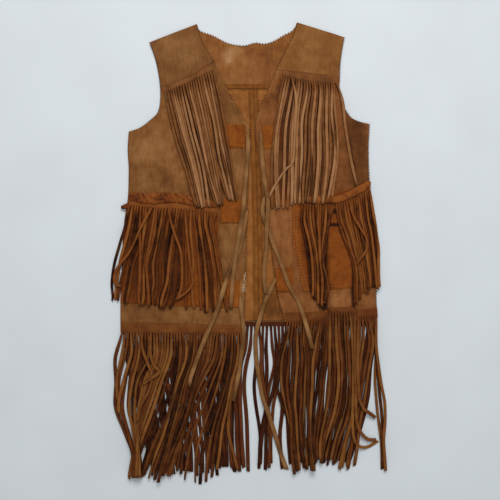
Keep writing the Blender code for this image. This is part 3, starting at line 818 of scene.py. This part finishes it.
# The fronts and their yokes: each front hangs from a shoulder yoke, pinked along the armhole and the
# open front edge. The right one is pressed into a stiff box fold that runs from the pocket to the hem.
SIDE_LIFT, INNER_LIFT, LIFT_RUN = 2.15, 3.6, 26.0
RIDGE_RISE, RIDGE_TOP_Y, RIDGE_FULL_Y, RIDGE_HEM_RISE = 10.0, 62.0, 22.0, 14.0
RIDGE_COLUMNS = (0.51, 0.53, 0.725, 0.745)
# Each row crosses a panel: the x and y of its left end, the x and y of its right end, and its sag.
YOKE_LEFT = (
    (-194, 412, -100, 448, 0),
    (-182, 379, -87, 410, 2),
    (-176, 350, -76, 393, 5),
    (-173, 326, -67, 377, 8),
)
FRONT_LEFT = (
    (-173, 326, -67, 377, 8),
    (-173, 301, -60, 358, 4),
    (-178, 276, -46, 332, 1),
    (-192, 262, -28, 299, 0),
    (-212, 247, -9, 266, 0),
    (-233, 239, 5, 247, 0),
    (-235, 204, 4, 214, 0),
    (-233, 165, 2, 165, 0),
    (-235, 106, 0, 102, 0),
    (-241, 67, -1, 71, 0),
    (-245, 9, -3, 20, 0),
    (-247, -50, -5, -50, 0),
    (-249, -93, -6, -93, 0),
    (-249, -151, -8, -155, 0),
)
YOKE_RIGHT = (
    (94, 451, 188, 422, 0),
    (84, 424, 183, 395, 0),
    (70.5, 399, 180, 370, 0),
    (52, 359, 179, 345, 0),
)
FRONT_RIGHT = (
    (52, 359, 179, 345, 0),
    (46, 341, 178, 321, 0),
    (38, 323, 182, 295, 0),
    (27, 299, 190, 282, 0),
    (16, 270, 202, 266, 0),
    (11, 249, 219, 258, 0),
    (12, 227, 237, 254, 0),
    (17, 196, 235, 204, 0),
    (22, 145, 237, 145, 0),
    (28, 102, 241, 106, 0),
    (34, 62, 248, 64, 0),
    (41, 22, 254, 24, 0),
    (49, -40, 254, -40, 0),
    (56, -85, 250, -83, 0),
    (69, -132, 253, -122, 0),
)
ARMHOLE_FOOT = {"left": 5, "right": 6}  # the row where a front's armhole meets its side seam
# Soft folds: the two ends of the crest, how far it spreads, and how high it stands.
FOLDS = (
    (-200, 200, -120, 40, 60, 2.6),
    (-60, 250, -40, 130, 40, 1.8),
    (-30, 20, -30, -120, 34, 2.2),
    (-190, -40, -170, -150, 55, 2.4),
    (-120, 300, -130, 230, 50, 1.6),
    (90, 250, 70, 60, 42, 2.2),
    (200, 200, 215, 60, 46, 2.4),
    (85, -20, 100, -124, 34, 2.0),
    (120, 330, 125, 250, 50, 1.6),
)
# Sharper creases that the laid fronts show.
CREASES = (
    (-172, 170, -158, 118, 13, 1.0),
    (-225, 190, -205, 150, 16, 0.8),
    (-40, 60, -52, 10, 12, 0.9),
    (-120, -112, -60, -118, 10, 0.7),
    (208, 240, 226, 215, 10, 1.2),
    (160, 205, 178, 130, 14, 1.4),
    (92, -92, 128, -104, 12, 0.9),
    (214, -96, 246, -112, 9, 0.8),
)


def crest_rise(x, y, folds):
    """How far these folds lift the leather here."""
    return sum(
        height * smooth(1 - line_distance(x, y, *ends) / spread) for *ends, spread, height in folds
    )


def front_shape(side, sections, ridge=False, lip=0.0):
    """How a front lies: low at its side seam, and folded and creased towards the middle."""
    last = len(sections) - 2

    def shape(x, y, across, near, far, span):
        above = min(int(span), last)
        sag = blend(sections[above][4], sections[above + 1][4], span - above)
        y -= sag * 4 * across * (1 - across)
        from_side = smooth(((x - near.x) if side == "left" else (far.x - x)) / LIFT_RUN)
        height = blend(SIDE_LIFT, INNER_LIFT, from_side)
        height += crest_rise(x, y, FOLDS + CREASES) * from_side
        height += 0.8 * from_side * max(noise.noise(Vector((x / 34, y / 34, 7.0))) + 0.3, 0)
        if ridge:
            start, full, end, foot = RIDGE_COLUMNS
            share = min((across - start) / (full - start), (foot - across) / (foot - end), 1.0)
            share = smooth(share)
            height += RIDGE_RISE * share * smooth((RIDGE_TOP_Y - y) / (RIDGE_TOP_Y - RIDGE_FULL_Y))
            y += RIDGE_HEM_RISE * share * max(span - last, 0)
        if lip:
            # The yoke's lower edge is turned under and stands a little proud.
            height += lip * smooth((span - last) * 5 - 4)
        return x, y, height

    return shape


FRONT_PANELS = {
    "yoke_left": (YOKE_LEFT, "left", "#5e381a", "#754924", "#895e35", (0.112, 0.102)),
    "yoke_right": (YOKE_RIGHT, "right", "#653c16", "#7d4e24", "#8f6134", (0.117, 0.112)),
    "front_left": (FRONT_LEFT, "left", "#5e3818", "#7a4d25", "#906338", (0.255, 0.53)),
    "front_right": (FRONT_RIGHT, "right", "#603615", "#7d4a23", "#946035", (0.242, 0.50)),
}
# Where each front is rubbed lighter, and where shade is painted darker: a spot or a line, its reach and
# its amount.
RUBBED_AND_SHADED = {
    "yoke_left": ((-150, 405, 50, 0.10), (-110, 395, 40, 0.08), (-165, 350, 30, -0.06)),
    "yoke_right": ((120, 400, 60, 0.06), (160, 380, 40, -0.05)),
    "front_left": (
        # The darker spot at (-162, 150) is painted shade beside a soft fold.
        (-190, 210, 60, 0.12), (-162, 150, 26, -0.14), (-225, 165, 30, -0.06), (-40, 300, 50, -0.12),
        (-28, 160, 50, 0.06), (-25, 0, 60, 0.04), (-30, -85, 60, 0.10), (-8, -60, 14, 0.30),
        (-200, -115, 50, -0.04), (-120, -112, 60, 0.04), (-200, 240, 30, -0.08),
        # Painted shade: dark bands under the yoke fringe.
        (-128, 318, -88, 120, 36, -0.4), (-92, 335, -52, 140, 36, -0.4),
        (-61, 360, -28, 298, 5, 0.2), (-28, 298, 0, 250, 5, 0.2),
        # Painted shade under the pocket fringe; the pocket patch is cut from this panel and keeps it.
        (-215, 60, -212, -60, 50, -0.34), (-150, 60, -150, -70, 50, -0.34),
        (-85, 60, -75, -80, 40, -0.2),
    ),
    "front_right": (
        (40, 300, 30, -0.14), (206, 262, 224, 140, 36, -0.26), (222, 150, 30, 0.14),
        # Painted shade: a crease from (181, 300) to (209, 131), then the shadows beside the box fold,
        # across its top and at the pocket opening.
        (181, 300, 209, 131, 6, -0.3), (176, 240, 186, 140, 26, -0.08),
        (150, 55, 148, -105, 7, -0.7), (203, 20, 203, -105, 8, -0.6), (168, 84, 8, -0.9),
        (160, 58, 177, 57, 6, -0.7), (142, -40, 145, -100, 16, -0.35), (180, 45, 200, -5, 8, -0.5),
        (60, 50, 60, 0.10), (230, -60, 40, 0.05), (175, -95, 40, 0.14), (90, -100, 40, 0.05),
        (30, 200, 30, 0.08), (235, 40, 30, 0.10),
        # Painted shade: dark bands under the yoke fringe.
        (82, 330, 72, 130, 34, -0.4), (118, 325, 112, 130, 36, -0.4), (150, 320, 150, 130, 26, -0.35),
        (52, 358, 38, 322, 5, 0.2), (38, 322, 13, 256, 5, 0.2), (62, 345, 57, 300, 8, -0.1),
        # Painted shade under the pocket fringe; the pocket patch is cut from this panel and keeps it.
        (116, 70, 136, -60, 28, -0.45), (222, 90, 226, -40, 30, -0.45),
    ),
}  # fmt: skip


def all_along(place):
    """An edge that is pinked from end to end."""
    return True


def armhole_or_right(place):
    """The left front's side is pinked at the armhole alone, and the right one's all the way."""
    return place.y > 240 or place.x > 0


for name, (sections, side, dark, middle, light, cut) in FRONT_PANELS.items():
    is_yoke = name.startswith("yoke")
    outer, inner = all_along if is_yoke else armhole_or_right, all_along
    cloth = lay_cloth(
        [(row[0], row[1]) for row in sections],
        [(row[2], row[3]) for row in sections],
        front_shape(side, sections, ridge=name == "front_right", lip=0.3 if is_yoke else 0.0),
        corners=() if is_yoke else (ARMHOLE_FOOT[side],),
        pinked_first=outer if side == "left" else inner,
        pinked_second=inner if side == "left" else outer,
    )
    lay_panel(name, cloth, suede(f"brushed_suede_{name}", dark, middle, light), cut, RUBBED_AND_SHADED[name])


# The patches: the pocket panels and six tabs are cut from the same hide and sewn on with its rough
# orange flesh side out. They lie on the fronts and follow every fold of them.
rough_suede = suede(
    "orange_flesh_side_suede", "#612d08", "#7e400e", "#925218", cloud_mm=17, grain_mm=2.0,
    grain_depth=0.8, sheen=0.06,
)  # fmt: skip
# Each patch has its side, its flat width and length in metres, and the cuts that leave it: the x and
# y of a place on the cut, and the way to what falls away.
PATCHES = {
    "pocket_left": (
        "left", 0.19, 0.215, ((-240, 110, 0.07, 1), (-59, 0, 1, 0), (-59, -103, -0.05, -1)),
    ),
    "pocket_right": (
        "right", 0.172, 0.18,
        ((85, 102, -0.22, 1), (85, 9, -1, 0), (88, 9, -1, -0.23), (85, -74, 0.09, -1)),
    ),
}  # fmt: skip
# A tab's cuts are square: its left and right x, and its top and bottom y.
for name, side, width, length, left, right, top, bottom in (
    ("tab_chest_left", "left", 0.044, 0.045, -50, -6, 252, 207),
    ("tab_waist_left", "left", 0.046, 0.047, -56, -10, 108, 61),
    ("tab_hip_left", "left", 0.039, 0.053, -56, -17, -50, -103),
    ("tab_chest_right", "right", 0.04, 0.046, 26, 66, 251, 205),
    ("tab_waist_right", "right", 0.044, 0.04, 36, 80, 134, 94),
    ("tab_hip_right", "right", 0.034, 0.047, 52, 86, -26, -73),
):
    cuts = (left, 0, -1, 0), (right, 0, 1, 0), (0, top, 0, 1), (0, bottom, 0, -1)
    PATCHES[name] = side, width, length, cuts
for name, (side, width, length, cuts) in PATCHES.items():
    patch = panels[f"front_{side}"][0].copy()
    patch.normal_update()
    for vert in patch.verts:
        vert.co += vert.normal * (LEATHER + 0.25) * MM
    for x, y, away_x, away_y in cuts:
        bmesh.ops.bisect_plane(
            patch,
            geom=patch.verts[:] + patch.edges[:] + patch.faces[:],
            dist=1e-6,
            plane_co=(x * MM, y * MM, 0),
            plane_no=Vector((away_x, away_y, 0)).normalized(),
            clear_outer=True,
        )
    ground.add_cloth(patch, SKIVED)
    area = min(sum(face.calc_area() for face in patch.faces), width * length)
    piece = make_piece(f"rough_{name}", patch, rough_suede, SKIVED, (name,))
sew(
    "thread_patches_left",
    rust_thread,
    (
        ((-236, -91), (-62, -99.8)), ((-62, 96), (-62, -99)),
        ((-47, 209.5), (-9, 209.5)), ((-47, 249), (-47, 210)), ((-53, 63.5), (-13, 63.5)),
        ((-53, 105), (-53, 64)), ((-53, -100), (-20, -100)), ((-53, -53), (-53, -99)),
    ),
)  # fmt: skip
sew(
    "thread_patches_right",
    rust_thread,
    (
        ((29, 207.5), (63, 207.5)), ((63, 248), (63, 208)), ((39, 97), (77, 97)), ((77, 131), (77, 98)),
        ((55, -70.5), (84, -70.5)), ((157, -64), (200, -60)), ((157, -58), (200, -54)),
        ((206, -60), (247, -56)),
    ),
)  # fmt: skip
sew(
    "thread_resewn",
    pale_thread,
    (
        ((88, 92), (88, 9), (108, -66)), ((110, -68.7), (148, -65.2)), ((94, 88), (94, 12), (113, -60)),
        ((247.5, 76), (251.5, 20)), ((242, -84), (240, -104)), ((-5, 30), (-6, -70)),
    ),
    pitch=6.0,
    width=1.4,
)  # fmt: skip
sew(
    "thread_darned",
    sewing_thread("cream_darning_thread", "#e2c3a2"),
    (
        ((-6, -37), (-8, -46), (-6, -56), (-10, -66), (-8, -74)), ((-10, -58), (-12, -74)),
        ((-8, -40), (-9, -52)), ((-7, -62), (-6, -74)),
    ),
    pitch=3.0,
    length=3.6,
    width=1.7,
    stands=0.8,
)  # fmt: skip


# The pocket fringes are cut from the rough orange split, and hang down over the pockets. Each one's
# strip is sewn on under a rolled band.
pocket_suede = split_suede_strands("cut_orange_brown_suede", "#1c0701", "#6c3712", "#885022")
POCKET_LEFT_GUIDES = (
    (0.03, -235, -246, -256, -262, -262, -262, -87),
    (0.09, -221, -228, -238, -247, -254, -254, -92),
    (0.145, -208, -207, -210, -209, -208, -208, -98),
    (0.19, -200, -202, -204, -203, -202, -200, -98),
    (0.25, -196, -213, -232, -242, -252, -254, -91),
    (0.285, -191, -206, -224, -236, -245, -246, -89),
    (0.3, -182, -187, -193, -193, -194, -194, -100),
    (0.35, -176, -181, -194, -194, -193, -190, -100),
    (0.39, -168, -175, -181, -178, -185, -187, -98),
    (0.43, -164, -168, -172, -174, -181, -183, -98),
    (0.48, -157, -163, -168, -166, -171, -176, -103),
    (0.535, -142, -150, -157, -161, -169, -170, -104),
    (0.585, -136, -141, -147, -153, -158, -166, -104),
    (0.62, -127, -125, -123, -126, -135, -146, -102),
    (0.68, -119, -120, -120, -120, -118, -114, -106),
    (0.74, -102, -97, -91, -90, -90, -90, -110),
    (0.8, -94, -88, -81, -79, -79, -79, -110),
    (0.86, -84, -76, -69, -66, -65, -64, -110),
    (0.93, -76, -66, -58, -51, -46, -42, -110),
    (1, -68, -61, -52, -47, -42, -38, -104),
)
POCKET_RIGHT_GUIDES = (
    (0.018, 102, 108, 113, 117, 120, 122, 128, -89),
    (0.05, 107, 114, 119, 123, 125, 125, 124, -83),
    (0.09, 115, 119, 125, 128, 130, 130, 130, -89),
    (0.14, 122, 127, 131, 133, 134, 135, 135, -94),
    (0.2, 131, 133, 136, 138, 140, 139, 138, -96),
    (0.25, 135, 138, 139, 141, 145, 147, 143, -98),
    (0.32, 146, 144, 143, 143, 148, 151, 144, -96),
    (0.38, 154, 148, 143, 140, 145, 149, 146, -96),
    (0.455, 157, 151, 148, 144, 149, 150, 150, -75),
    (0.465, 173, 180, 192, 200, 203, 204, 206, -96),
    (0.52, 179, 188, 196, 204, 208, 210, 210, -96),
    (0.56, 185, 193, 200, 207, 211, 213, 214, -85),
    (0.61, 194, 202, 209, 213, 216, 218, 219, -76),
    (0.7, 205, 210, 215, 219, 222, 224, 227, -78),
    (0.77, 212, 218, 223, 227, 231, 231, 231, -70),
    (0.84, 221, 229, 233, 235, 237, 237, 237, -61),
    (0.9, 229, 235, 238, 242, 247, 249, 249, -66),
    (0.97, 242, 246, 249, 249, 250, 252, 253, -62),
)
cut_fringe(
    "fringe_pocket_left", pocket_suede,
    count=32, width=4.9, wander=2.5, tip=4.0, seed=3, steps=30, crowd=3.0, wave=2.0,
    tones=(-0.12, 0.5), strip_tone=0.3, lift=3.2,
    upper=((-232, 111), (-190, 105), (-147, 105), (-110, 100), (-60, 96)),
    roots=((-232, 96), (-190, 91), (-147, 90), (-110, 86), (-60, 81)),
    rows=guide_rows((60, 20, -20, -55, -85), POCKET_LEFT_GUIDES),
    placed={
        8: ((-205, 54), (-229, 6), (-244, -13), (-257, -33), (-260, -46), (-256, -58), (-247, -60)),
        14: ((-149, 65), (-140, 36), (-131, 8), (-129, -22), (-129, -55), (-132, -72), (-140, -88)),
        20: ((-118, 32), (-114, -11), (-109, -38), (-108, -56), (-118, -71), (-139, -86)),
    },
)  # fmt: skip
cut_fringe(
    "fringe_pocket_right", pocket_suede,
    count=28, width=4.7, wander=1.2, tip=3.0, seed=4, steps=30, crowd=2.0, wave=1.5,
    tones=(-0.12, 0.5), strip_tone=0.25, lift=2.6, arch=1.5,
    upper=((102, 104), (151, 104), (175, 106), (190, 112), (210, 121), (234, 136)),
    roots=((102, 96), (151, 96), (177, 98), (193, 103), (213, 113), (236, 128)),
    rows=guide_rows((67, 38, 10, -15, -42, -66), POCKET_RIGHT_GUIDES),
    placed={18: ((202, 75), (213, 54), (225, 34), (229, 19), (226, 8), (216, -7), (206, -19))},
)  # fmt: skip


# The rolled bands: a strip of rust suede rolled over the top of each pocket fringe and sewn through.
# The left one has twisted into diagonal lumps, and the right one sweeps up smoothly to the side.
band_suede = suede(
    "rolled_rust_suede", "#481f07", "#6c340f", "#8a4c1c", cloud_mm=9, grain_mm=1.8,
    grain_depth=0.9, sheen=0.06,
)  # fmt: skip
# Places along each band, with its width and height there.
BANDS = {
    "band_left": (
        (-232, 112, 15, 4.5), (-224, 112, 18, 6.0), (-206, 109, 20, 6.5), (-178, 108, 19, 6.5),
        (-147, 110, 17, 6.0), (-110, 103, 17, 6.0), (-80, 99, 14, 5.5), (-60, 96, 11, 4.5),
    ),
    "band_right": (
        (100, 105, 11, 4.5), (125, 106, 14, 5.5), (149, 106, 16, 6.0), (171, 107, 16, 6.5),
        (192, 114, 16, 7.0), (210, 123, 16, 7.0), (224, 132, 15, 6.5), (236, 141, 10, 5.0),
    ),
}  # fmt: skip
BAND_STEPS = 110  # rings along a band
BAND_TURN = 26  # and cells round it
BAND_LENGTH = 190
ROLLED = 430  # degrees that the strip goes round, so its outer end overlaps its inner one
CREASE_GAP = 19.0  # between the diagonal creases of the twisted band
for name, stations in BANDS.items():
    twisted = name == "band_left"
    line = even_line([station[:2] for station in stations], 1.0)
    picked = np.linspace(0, len(line) - 1, BAND_STEPS + 1)
    line = np.stack([np.interp(picked, np.arange(len(line)), line[:, axis]) for axis in (0, 1)], axis=1)
    knots = np.linspace(0, 1, len(stations))
    share = np.linspace(0, 1, BAND_STEPS + 1)
    widths, heights = (np.interp(share, knots, [s[column] for s in stations]) for column in (2, 3))
    _, side = directions(line)
    beds, _ = ground.rest(line, 5.0, 5.0)

    def place_corner(step, row):
        turn = 1 - row / BAND_TURN
        angle = math.radians(-90 - ROLLED * turn)
        down = step / BAND_STEPS * BAND_LENGTH
        # Diagonal creases on the left band, and one fold along the right one.
        drift = noise.noise(Vector((down / 30, 2.0, 4.0)))
        if twisted:
            phase = down / CREASE_GAP + 0.6 * math.cos(angle) + 1.6 * drift
        else:
            phase = 0.5 + 0.5 * math.cos(angle) + 0.2 * drift
        crease = (1 - abs(math.sin(math.pi * phase))) ** 4
        lump = noise.noise(Vector((down / 11, math.cos(angle) * 1.5, 5.0))) * 0.12
        spread = 1 + lump + 0.06 * turn
        swell = spread - (0.34 if twisted else 0.2) * crease
        ends = smooth(min(step, BAND_STEPS - step) / 4 + 0.45)
        out = math.cos(angle) * widths[step] / 2 * spread * ends
        up = (math.sin(angle) + 1) / 2 * heights[step] * (swell if math.sin(angle) > 0 else 1) * ends
        # Painted shade in the creases; the rest varies at random along the band.
        wear_and_crease_shade = (0.08 if twisted else 0.12) - 0.28 * crease + 0.25 * drift
        return Vector((*(line[step] + side[step] * out), beds[step] + 0.9 + up)) * MM, wear_and_crease_shade

    mesh = shaped_grid(BAND_STEPS, BAND_TURN, place_corner, marks=("wear_and_shade",))
    band = make_piece(f"rolled_{name}", mesh, band_suede, 0.8, (name,))
    band.modifiers[0].offset = 0.0


def stiff_point(column, row):
    """The left band's own cut end sticks out below it at the side."""
    across, down = column / 4, row / 3
    x, y = blend(-247, -231, across), 91.5 - (down - 0.5) * 13 * blend(0.35, 1.0, across) + 3 * across
    return (Vector((x, y, 5.5 + 3.5 * across + 1.2 * math.sin(3 * down))) * MM,)


band_end = shaped_grid(4, 3, stiff_point)
rub_and_shade(band_end, ((-246, 90, 8, -0.25),))
make_piece("band_end_left", band_end, band_suede, 1.4)


# The hem fringes are cut from the lower part of the rust strip that is sewn over each front's hem,
# and reach the floor below it. Long strands slid to the side and crossed as the vest was laid down.
hem_suede = split_suede_strands("cut_rust_suede", "#180701", "#623213", "#845426")
HEM_LEFT_GUIDES = (
    (0, -265, -258, -263, -243, -222, -230, -431),
    (0.04, -242, -254, -249, -232, -225, -228, -428),
    (0.09, -232, -245, -251, -236, -226, -222, -430),
    (0.13, -219, -230, -238, -226, -219, -216, -428),
    (0.25, -190, -211, -216, -212, -208, -204, -430),
    (0.383, -160, -175, -193, -212, -222, -232, -432),
    (0.434, -146, -161, -177, -194, -209, -218, -428),
    (0.485, -134, -142, -157, -176, -191, -207, -428),
    (0.549, -118, -133, -145, -163, -177, -191, -430),
    (0.613, -106, -119, -133, -152, -166, -177, -438),
    (0.672, -94, -107, -121, -139, -156, -172, -428),
    (0.766, -77, -95, -114, -126, -136, -145, -428),
    (0.81, -64, -83, -105, -121, -129, -133, -420),
    (0.851, -50, -63, -81, -98, -110, -118, -438),
    (0.881, -42, -51, -64, -81, -94, -97, -442),
    (0.923, -32, -39, -53, -68, -78, -84, -444),
    (0.953, -23, -31, -40, -53, -61, -67, -420),
    (1, -17, -27, -35, -40, -46, -50, -418),
)
HEM_RIGHT_GUIDES = (
    (0.016, 70, 60, 57, 66, 79, 98, 112, -416),
    (0.05, 77, 68, 69, 77, 82, 83, 84, -427),
    (0.085, 88, 90, 84, 84, 85, 88, 93, -418),
    (0.126, 95, 97, 95, 93, 95, 96, 100, -418),
    (0.163, 105, 108, 104, 105, 102, 105, 110, -418),
    (0.21, 113, 115, 113, 114, 115, 118, 121, -416),
    (0.35, 131, 122, 120, 118, 118, 121, 128, -416),
    (0.4, 144, 139, 133, 128, 125, 126, 131, -396),
    (0.458, 152, 151, 148, 145, 140, 133, 134, -396),
    (0.505, 162, 166, 167, 163, 154, 143, 139, -401),
    (0.547, 173, 175, 175, 171, 164, 152, 145, -403),
    (0.595, 182, 184, 185, 184, 176, 164, 157, -396),
    (0.647, 192, 193, 193, 192, 187, 174, 165, -398),
    (0.69, 201, 203, 203, 199, 194, 184, 173, -398),
    (0.777, 209, 207, 211, 207, 200, 189, 176, -421),
    (0.84, 219, 212, 207, 203, 198, 191, 189, -412),
    (0.875, 235, 227, 221, 214, 208, 200, 193, -414),
    (0.905, 240, 232, 227, 221, 215, 207, 201, -403),
    (0.91, 244, 244, 244, 245, 249, 255, 257, -418),
    (1, 248, 252, 259, 267, 267, 261, 264, -418),
)
cut_fringe(
    "fringe_hem_left", hem_suede,
    count=42, width=5.8, wander=2.5, tip=5.0, seed=6, steps=32, crowd=6.0, over=0.9, lift=1.5,
    tones=(-0.08, 0.46), strip_tone=0.26,
    upper=((-247, -130), (-12, -138)),
    roots=((-247, -150), (-12, -153)),
    rows=guide_rows((-200, -245, -295, -345, -388), HEM_LEFT_GUIDES),
    placed={
        3: ((-226, -190), (-238, -230), (-247, -262), (-251, -285), (-250, -307)),
        7: ((-206, -178), (-197, -205), (-186, -232), (-192, -262), (-207, -290), (-213, -318)),
        10: ((-190, -188), (-181, -214), (-172, -226), (-190, -240), (-203, -250)),
        41: ((-15, -200), (-27, -245), (-36, -290), (-39, -340), (-32, -376), (-21, -418)),
    },
)  # fmt: skip
cut_fringe(
    "fringe_hem_right", hem_suede,
    count=36, width=5.8, wander=2.0, tip=4.0, seed=7, steps=32, crowd=4.0, lift=1.5,
    tones=(-0.08, 0.46),
    upper=((70, -113), (144, -111), (157, -102), (199, -101), (212, -107), (250, -104)),
    roots=((73, -130), (143, -127), (157, -110), (200, -109), (212, -121), (250, -120)),
    rows=guide_rows((-165, -206, -245, -284, -318, -360), HEM_RIGHT_GUIDES),
    placed={
        24: ((201, -165), (203, -206), (203, -245), (201, -284), (200, -318), (202, -348), (210, -368),
             (224, -375), (238, -372), (252, -363)),
        26: ((205, -165), (205, -206), (207, -245), (206, -284), (208, -318), (212, -334), (219, -346),
             (228, -356), (238, -360), (248, -360)),
        28: ((211, -165), (209, -206), (211, -245), (213, -275), (222, -297), (235, -307), (246, -316)),
        32: ((241, -165), (236, -206), (230, -245), (224, -284), (217, -318), (211, -360), (206, -411)),
    },
)  # fmt: skip
sew("thread_hem_left", rust_thread, (((-245, -133.5), (-14, -141)),))
sew(
    "thread_hem_right",
    rust_thread,
    (((73, -116), (144, -114), (157, -105), (199, -104), (212, -110), (248, -107)),),
)


# The yoke fringes are cut from paler suede with their smooth side out. Their strips are sewn under
# the lower edges of the front yokes, and the strands hang down the chest.
pale_strands = split_suede_strands("cut_pale_suede", "#38190a", "#7c4c26", "#a0714a")
cut_fringe(
    "fringe_yoke_left", pale_strands,
    count=20, width=5.0, wander=2.2, tip=3.0, seed=1, wave=1.0, crowd=3.0, lift=2.2, arch=1.5,
    tones=(0.12, 0.46), strip_tone=0.1,
    upper=((-169, 326), (-141, 334.4), (-122, 342.2), (-102, 352.6), (-87, 361.8), (-69, 374)),
    roots=((-163, 312), (-141, 323), (-122, 331), (-102, 341), (-87, 350), (-66, 358)),
    rows=(
        ((0, -160, 296), (0.5, -112, 322), (1, -63, 340)),
        ((0, -143, 230), (1, -49, 270)),
        ((0, -122, 158), (1, -36, 192)),
        ((0, -101, 92), (0.36, -81, 94), (0.42, -63, 96), (0.68, -48, 98), (0.72, -37, 103),
         (1, -22, 105)),
    ),
)  # fmt: skip
cut_fringe(
    "fringe_yoke_right", pale_strands,
    count=22, width=5.0, wander=3.0, tip=4.0, seed=2, crowd=3.5, lift=2.2, arch=1.5,
    tones=(0.06, 0.54), strip_tone=0.1,
    upper=((64, 357.5), (93, 354.5), (114, 352.2), (134, 350), (161, 347), (176, 345.3)),
    roots=((67, 346), (93, 341), (114, 338), (134, 334), (161, 333), (172, 334)),
    rows=(
        ((0, 63, 334), (0.5, 122, 318), (1, 174, 318)),
        ((0, 48, 260), (0.93, 169, 260), (1, 187, 260)),
        ((0, 42, 180), (0.93, 173, 184), (1, 197, 184)),
        ((0, 48, 86), (0.2, 68, 90), (0.45, 100, 99), (0.75, 136, 98), (0.93, 162, 110),
         (1, 203, 122)),
    ),
    placed={
        3: ((92, 300), (89, 240), (87, 192), (84, 174), (77, 170), (68, 160), (56, 142), (46, 125),
            (40, 111)),
        21: ((182, 300), (188, 250), (197, 190), (206, 150), (211, 131)),
    },
)  # fmt: skip


# Each panel, what it lies on, and what is sewn to it. The loop only looks up each one's area and flat
# size, and does nothing with them.
for name, beneath, *sewn_on in (
    ("back_yoke", "floor", "pressed_seam_yoke", "thread_yoke_seam"),
    (
        "back_left", "floor",
        "pressed_seam_centre_left", "thread_centre_seam", "strands_hem_back", "thread_back_hem",
    ),
    ("back_right", "floor", "pressed_seam_centre_right"),
    ("yoke_left", "suede_back_yoke", "strands_yoke_left"),
    ("yoke_right", "suede_back_yoke", "strands_yoke_right"),
    (
        "front_left", "suede_back_left",
        "strands_pocket_left", "rolled_band_left", "band_end_left", "strands_hem_left",
        "thread_patches_left", "thread_darned", "thread_hem_left",
    ),
    (
        "front_right", "suede_back_right",
        "strands_pocket_right", "rolled_band_right", "strands_hem_right",
        "thread_patches_right", "thread_resewn", "thread_hem_right",
    ),
):  # fmt: skip
    _, area, (width, length) = panels[name]


# The ties: six flat leather thongs, 8 mm wide, each pulled through a hole in its tab. They are worn
# pale, hang limp down over the fronts and the fringe, and end in plain cuts.
thong = split_suede_strands("worn_leather_thong", "#4a2c12", "#7b532e", "#9b7146")
TIE_WIDTH, TIE_WALL, TIE_STEP = 8.0, 1.6, 9.0
TIES = {
    "tie_hip_left": ((-16, -79), (-14, -104), (-11, -130), (-10, -161), (-14, -192), (-17, -217),
                     (-22, -245), (-30, -284)),
    "tie_waist_left": ((-3, 86), (-8, 54), (-14, 22), (-28, -12), (-39, -36), (-45, -56), (-56, -94),
                       (-70, -130), (-82, -157), (-94, -187), (-110, -235), (-114, -253)),
    "tie_chest_left": ((-6, 234), (-1, 223), (-2, 190), (-4, 165), (-7, 128), (-11, 83), (-15, 58),
                       (-20, 26), (-25, -4), (-31, -56), (-35, -104)),
    "tie_hip_right": ((53, -46), (50, -54), (42, -71), (31, -93), (24, -118), (17, -141), (14, -161),
                      (14, -186), (16, -210), (22, -247), (28, -276), (38, -305), (49, -342),
                      (65, -393), (74, -418)),
    "tie_waist_right": ((31, 112), (27, 89), (30, 71), (42, 40), (48, 20), (58, -4), (67, -28),
                        (77, -56), (86, -73), (97, -93), (113, -141), (124, -182)),
    "tie_chest_right": ((24, 238), (25, 210), (29, 161), (34, 130), (38, 104), (37, 83), (35, 34),
                        (35, 9), (31, -17), (30, -42), (34, -77)),
}  # fmt: skip
for number, (name, route) in enumerate(TIES.items()):
    line = even_line(route, Ground.STEP)
    heights, slopes = ground.rest(line, TIE_WIDTH / 2, TIE_WALL)
    ahead, side = directions(line)
    rings = round((len(line) - 1) * Ground.STEP / TIE_STEP)

    def place_corner(column, ring):
        k = ACROSS[column]
        sample = ring / rings * (len(line) - 1)
        low = min(int(sample), len(line) - 2)
        x, y = line[low] + (line[low + 1] - line[low]) * (sample - low)
        z = blend(heights[low], heights[low + 1], sample - low)
        tilt = slopes[low] + 0.3 * noise.noise(Vector((ring / 5, number * 3.1, 0.0)))
        # The top is drawn to a point where it goes through its hole, and the far end is cut askew.
        half = TIE_WIDTH / 2 * (0.35 if ring == 0 else 0.75 if ring == 1 else 1.0)
        cut = k * 2.2 if ring == rings else 0.0
        across, forward = Vector((*side[low], 0)), Vector((*ahead[low], 0))
        middle = Vector((x, y, z + half * abs(math.sin(tilt - slopes[low]))))
        raised = Vector((0, 0, k * half * math.sin(tilt) + (SHOULDER if abs(k) < 1 else 0.0)))
        place = (middle + across * k * half * math.cos(tilt) + forward * cut + raised) * MM
        tone = 0.2 + 0.35 * noise.noise(Vector((ring / 4, number * 2.0, 5.0)))
        # Its edges get painted shade.
        return place, tone, 0.7 if abs(k) == 1.0 else 0.0

    mesh = shaped_grid(len(ACROSS) - 1, rings, place_corner, marks=("tone", "edge_shade"))
    tie = make_piece(f"thong_{name}", mesh, thong, TIE_WALL, (name,), raw_edge)
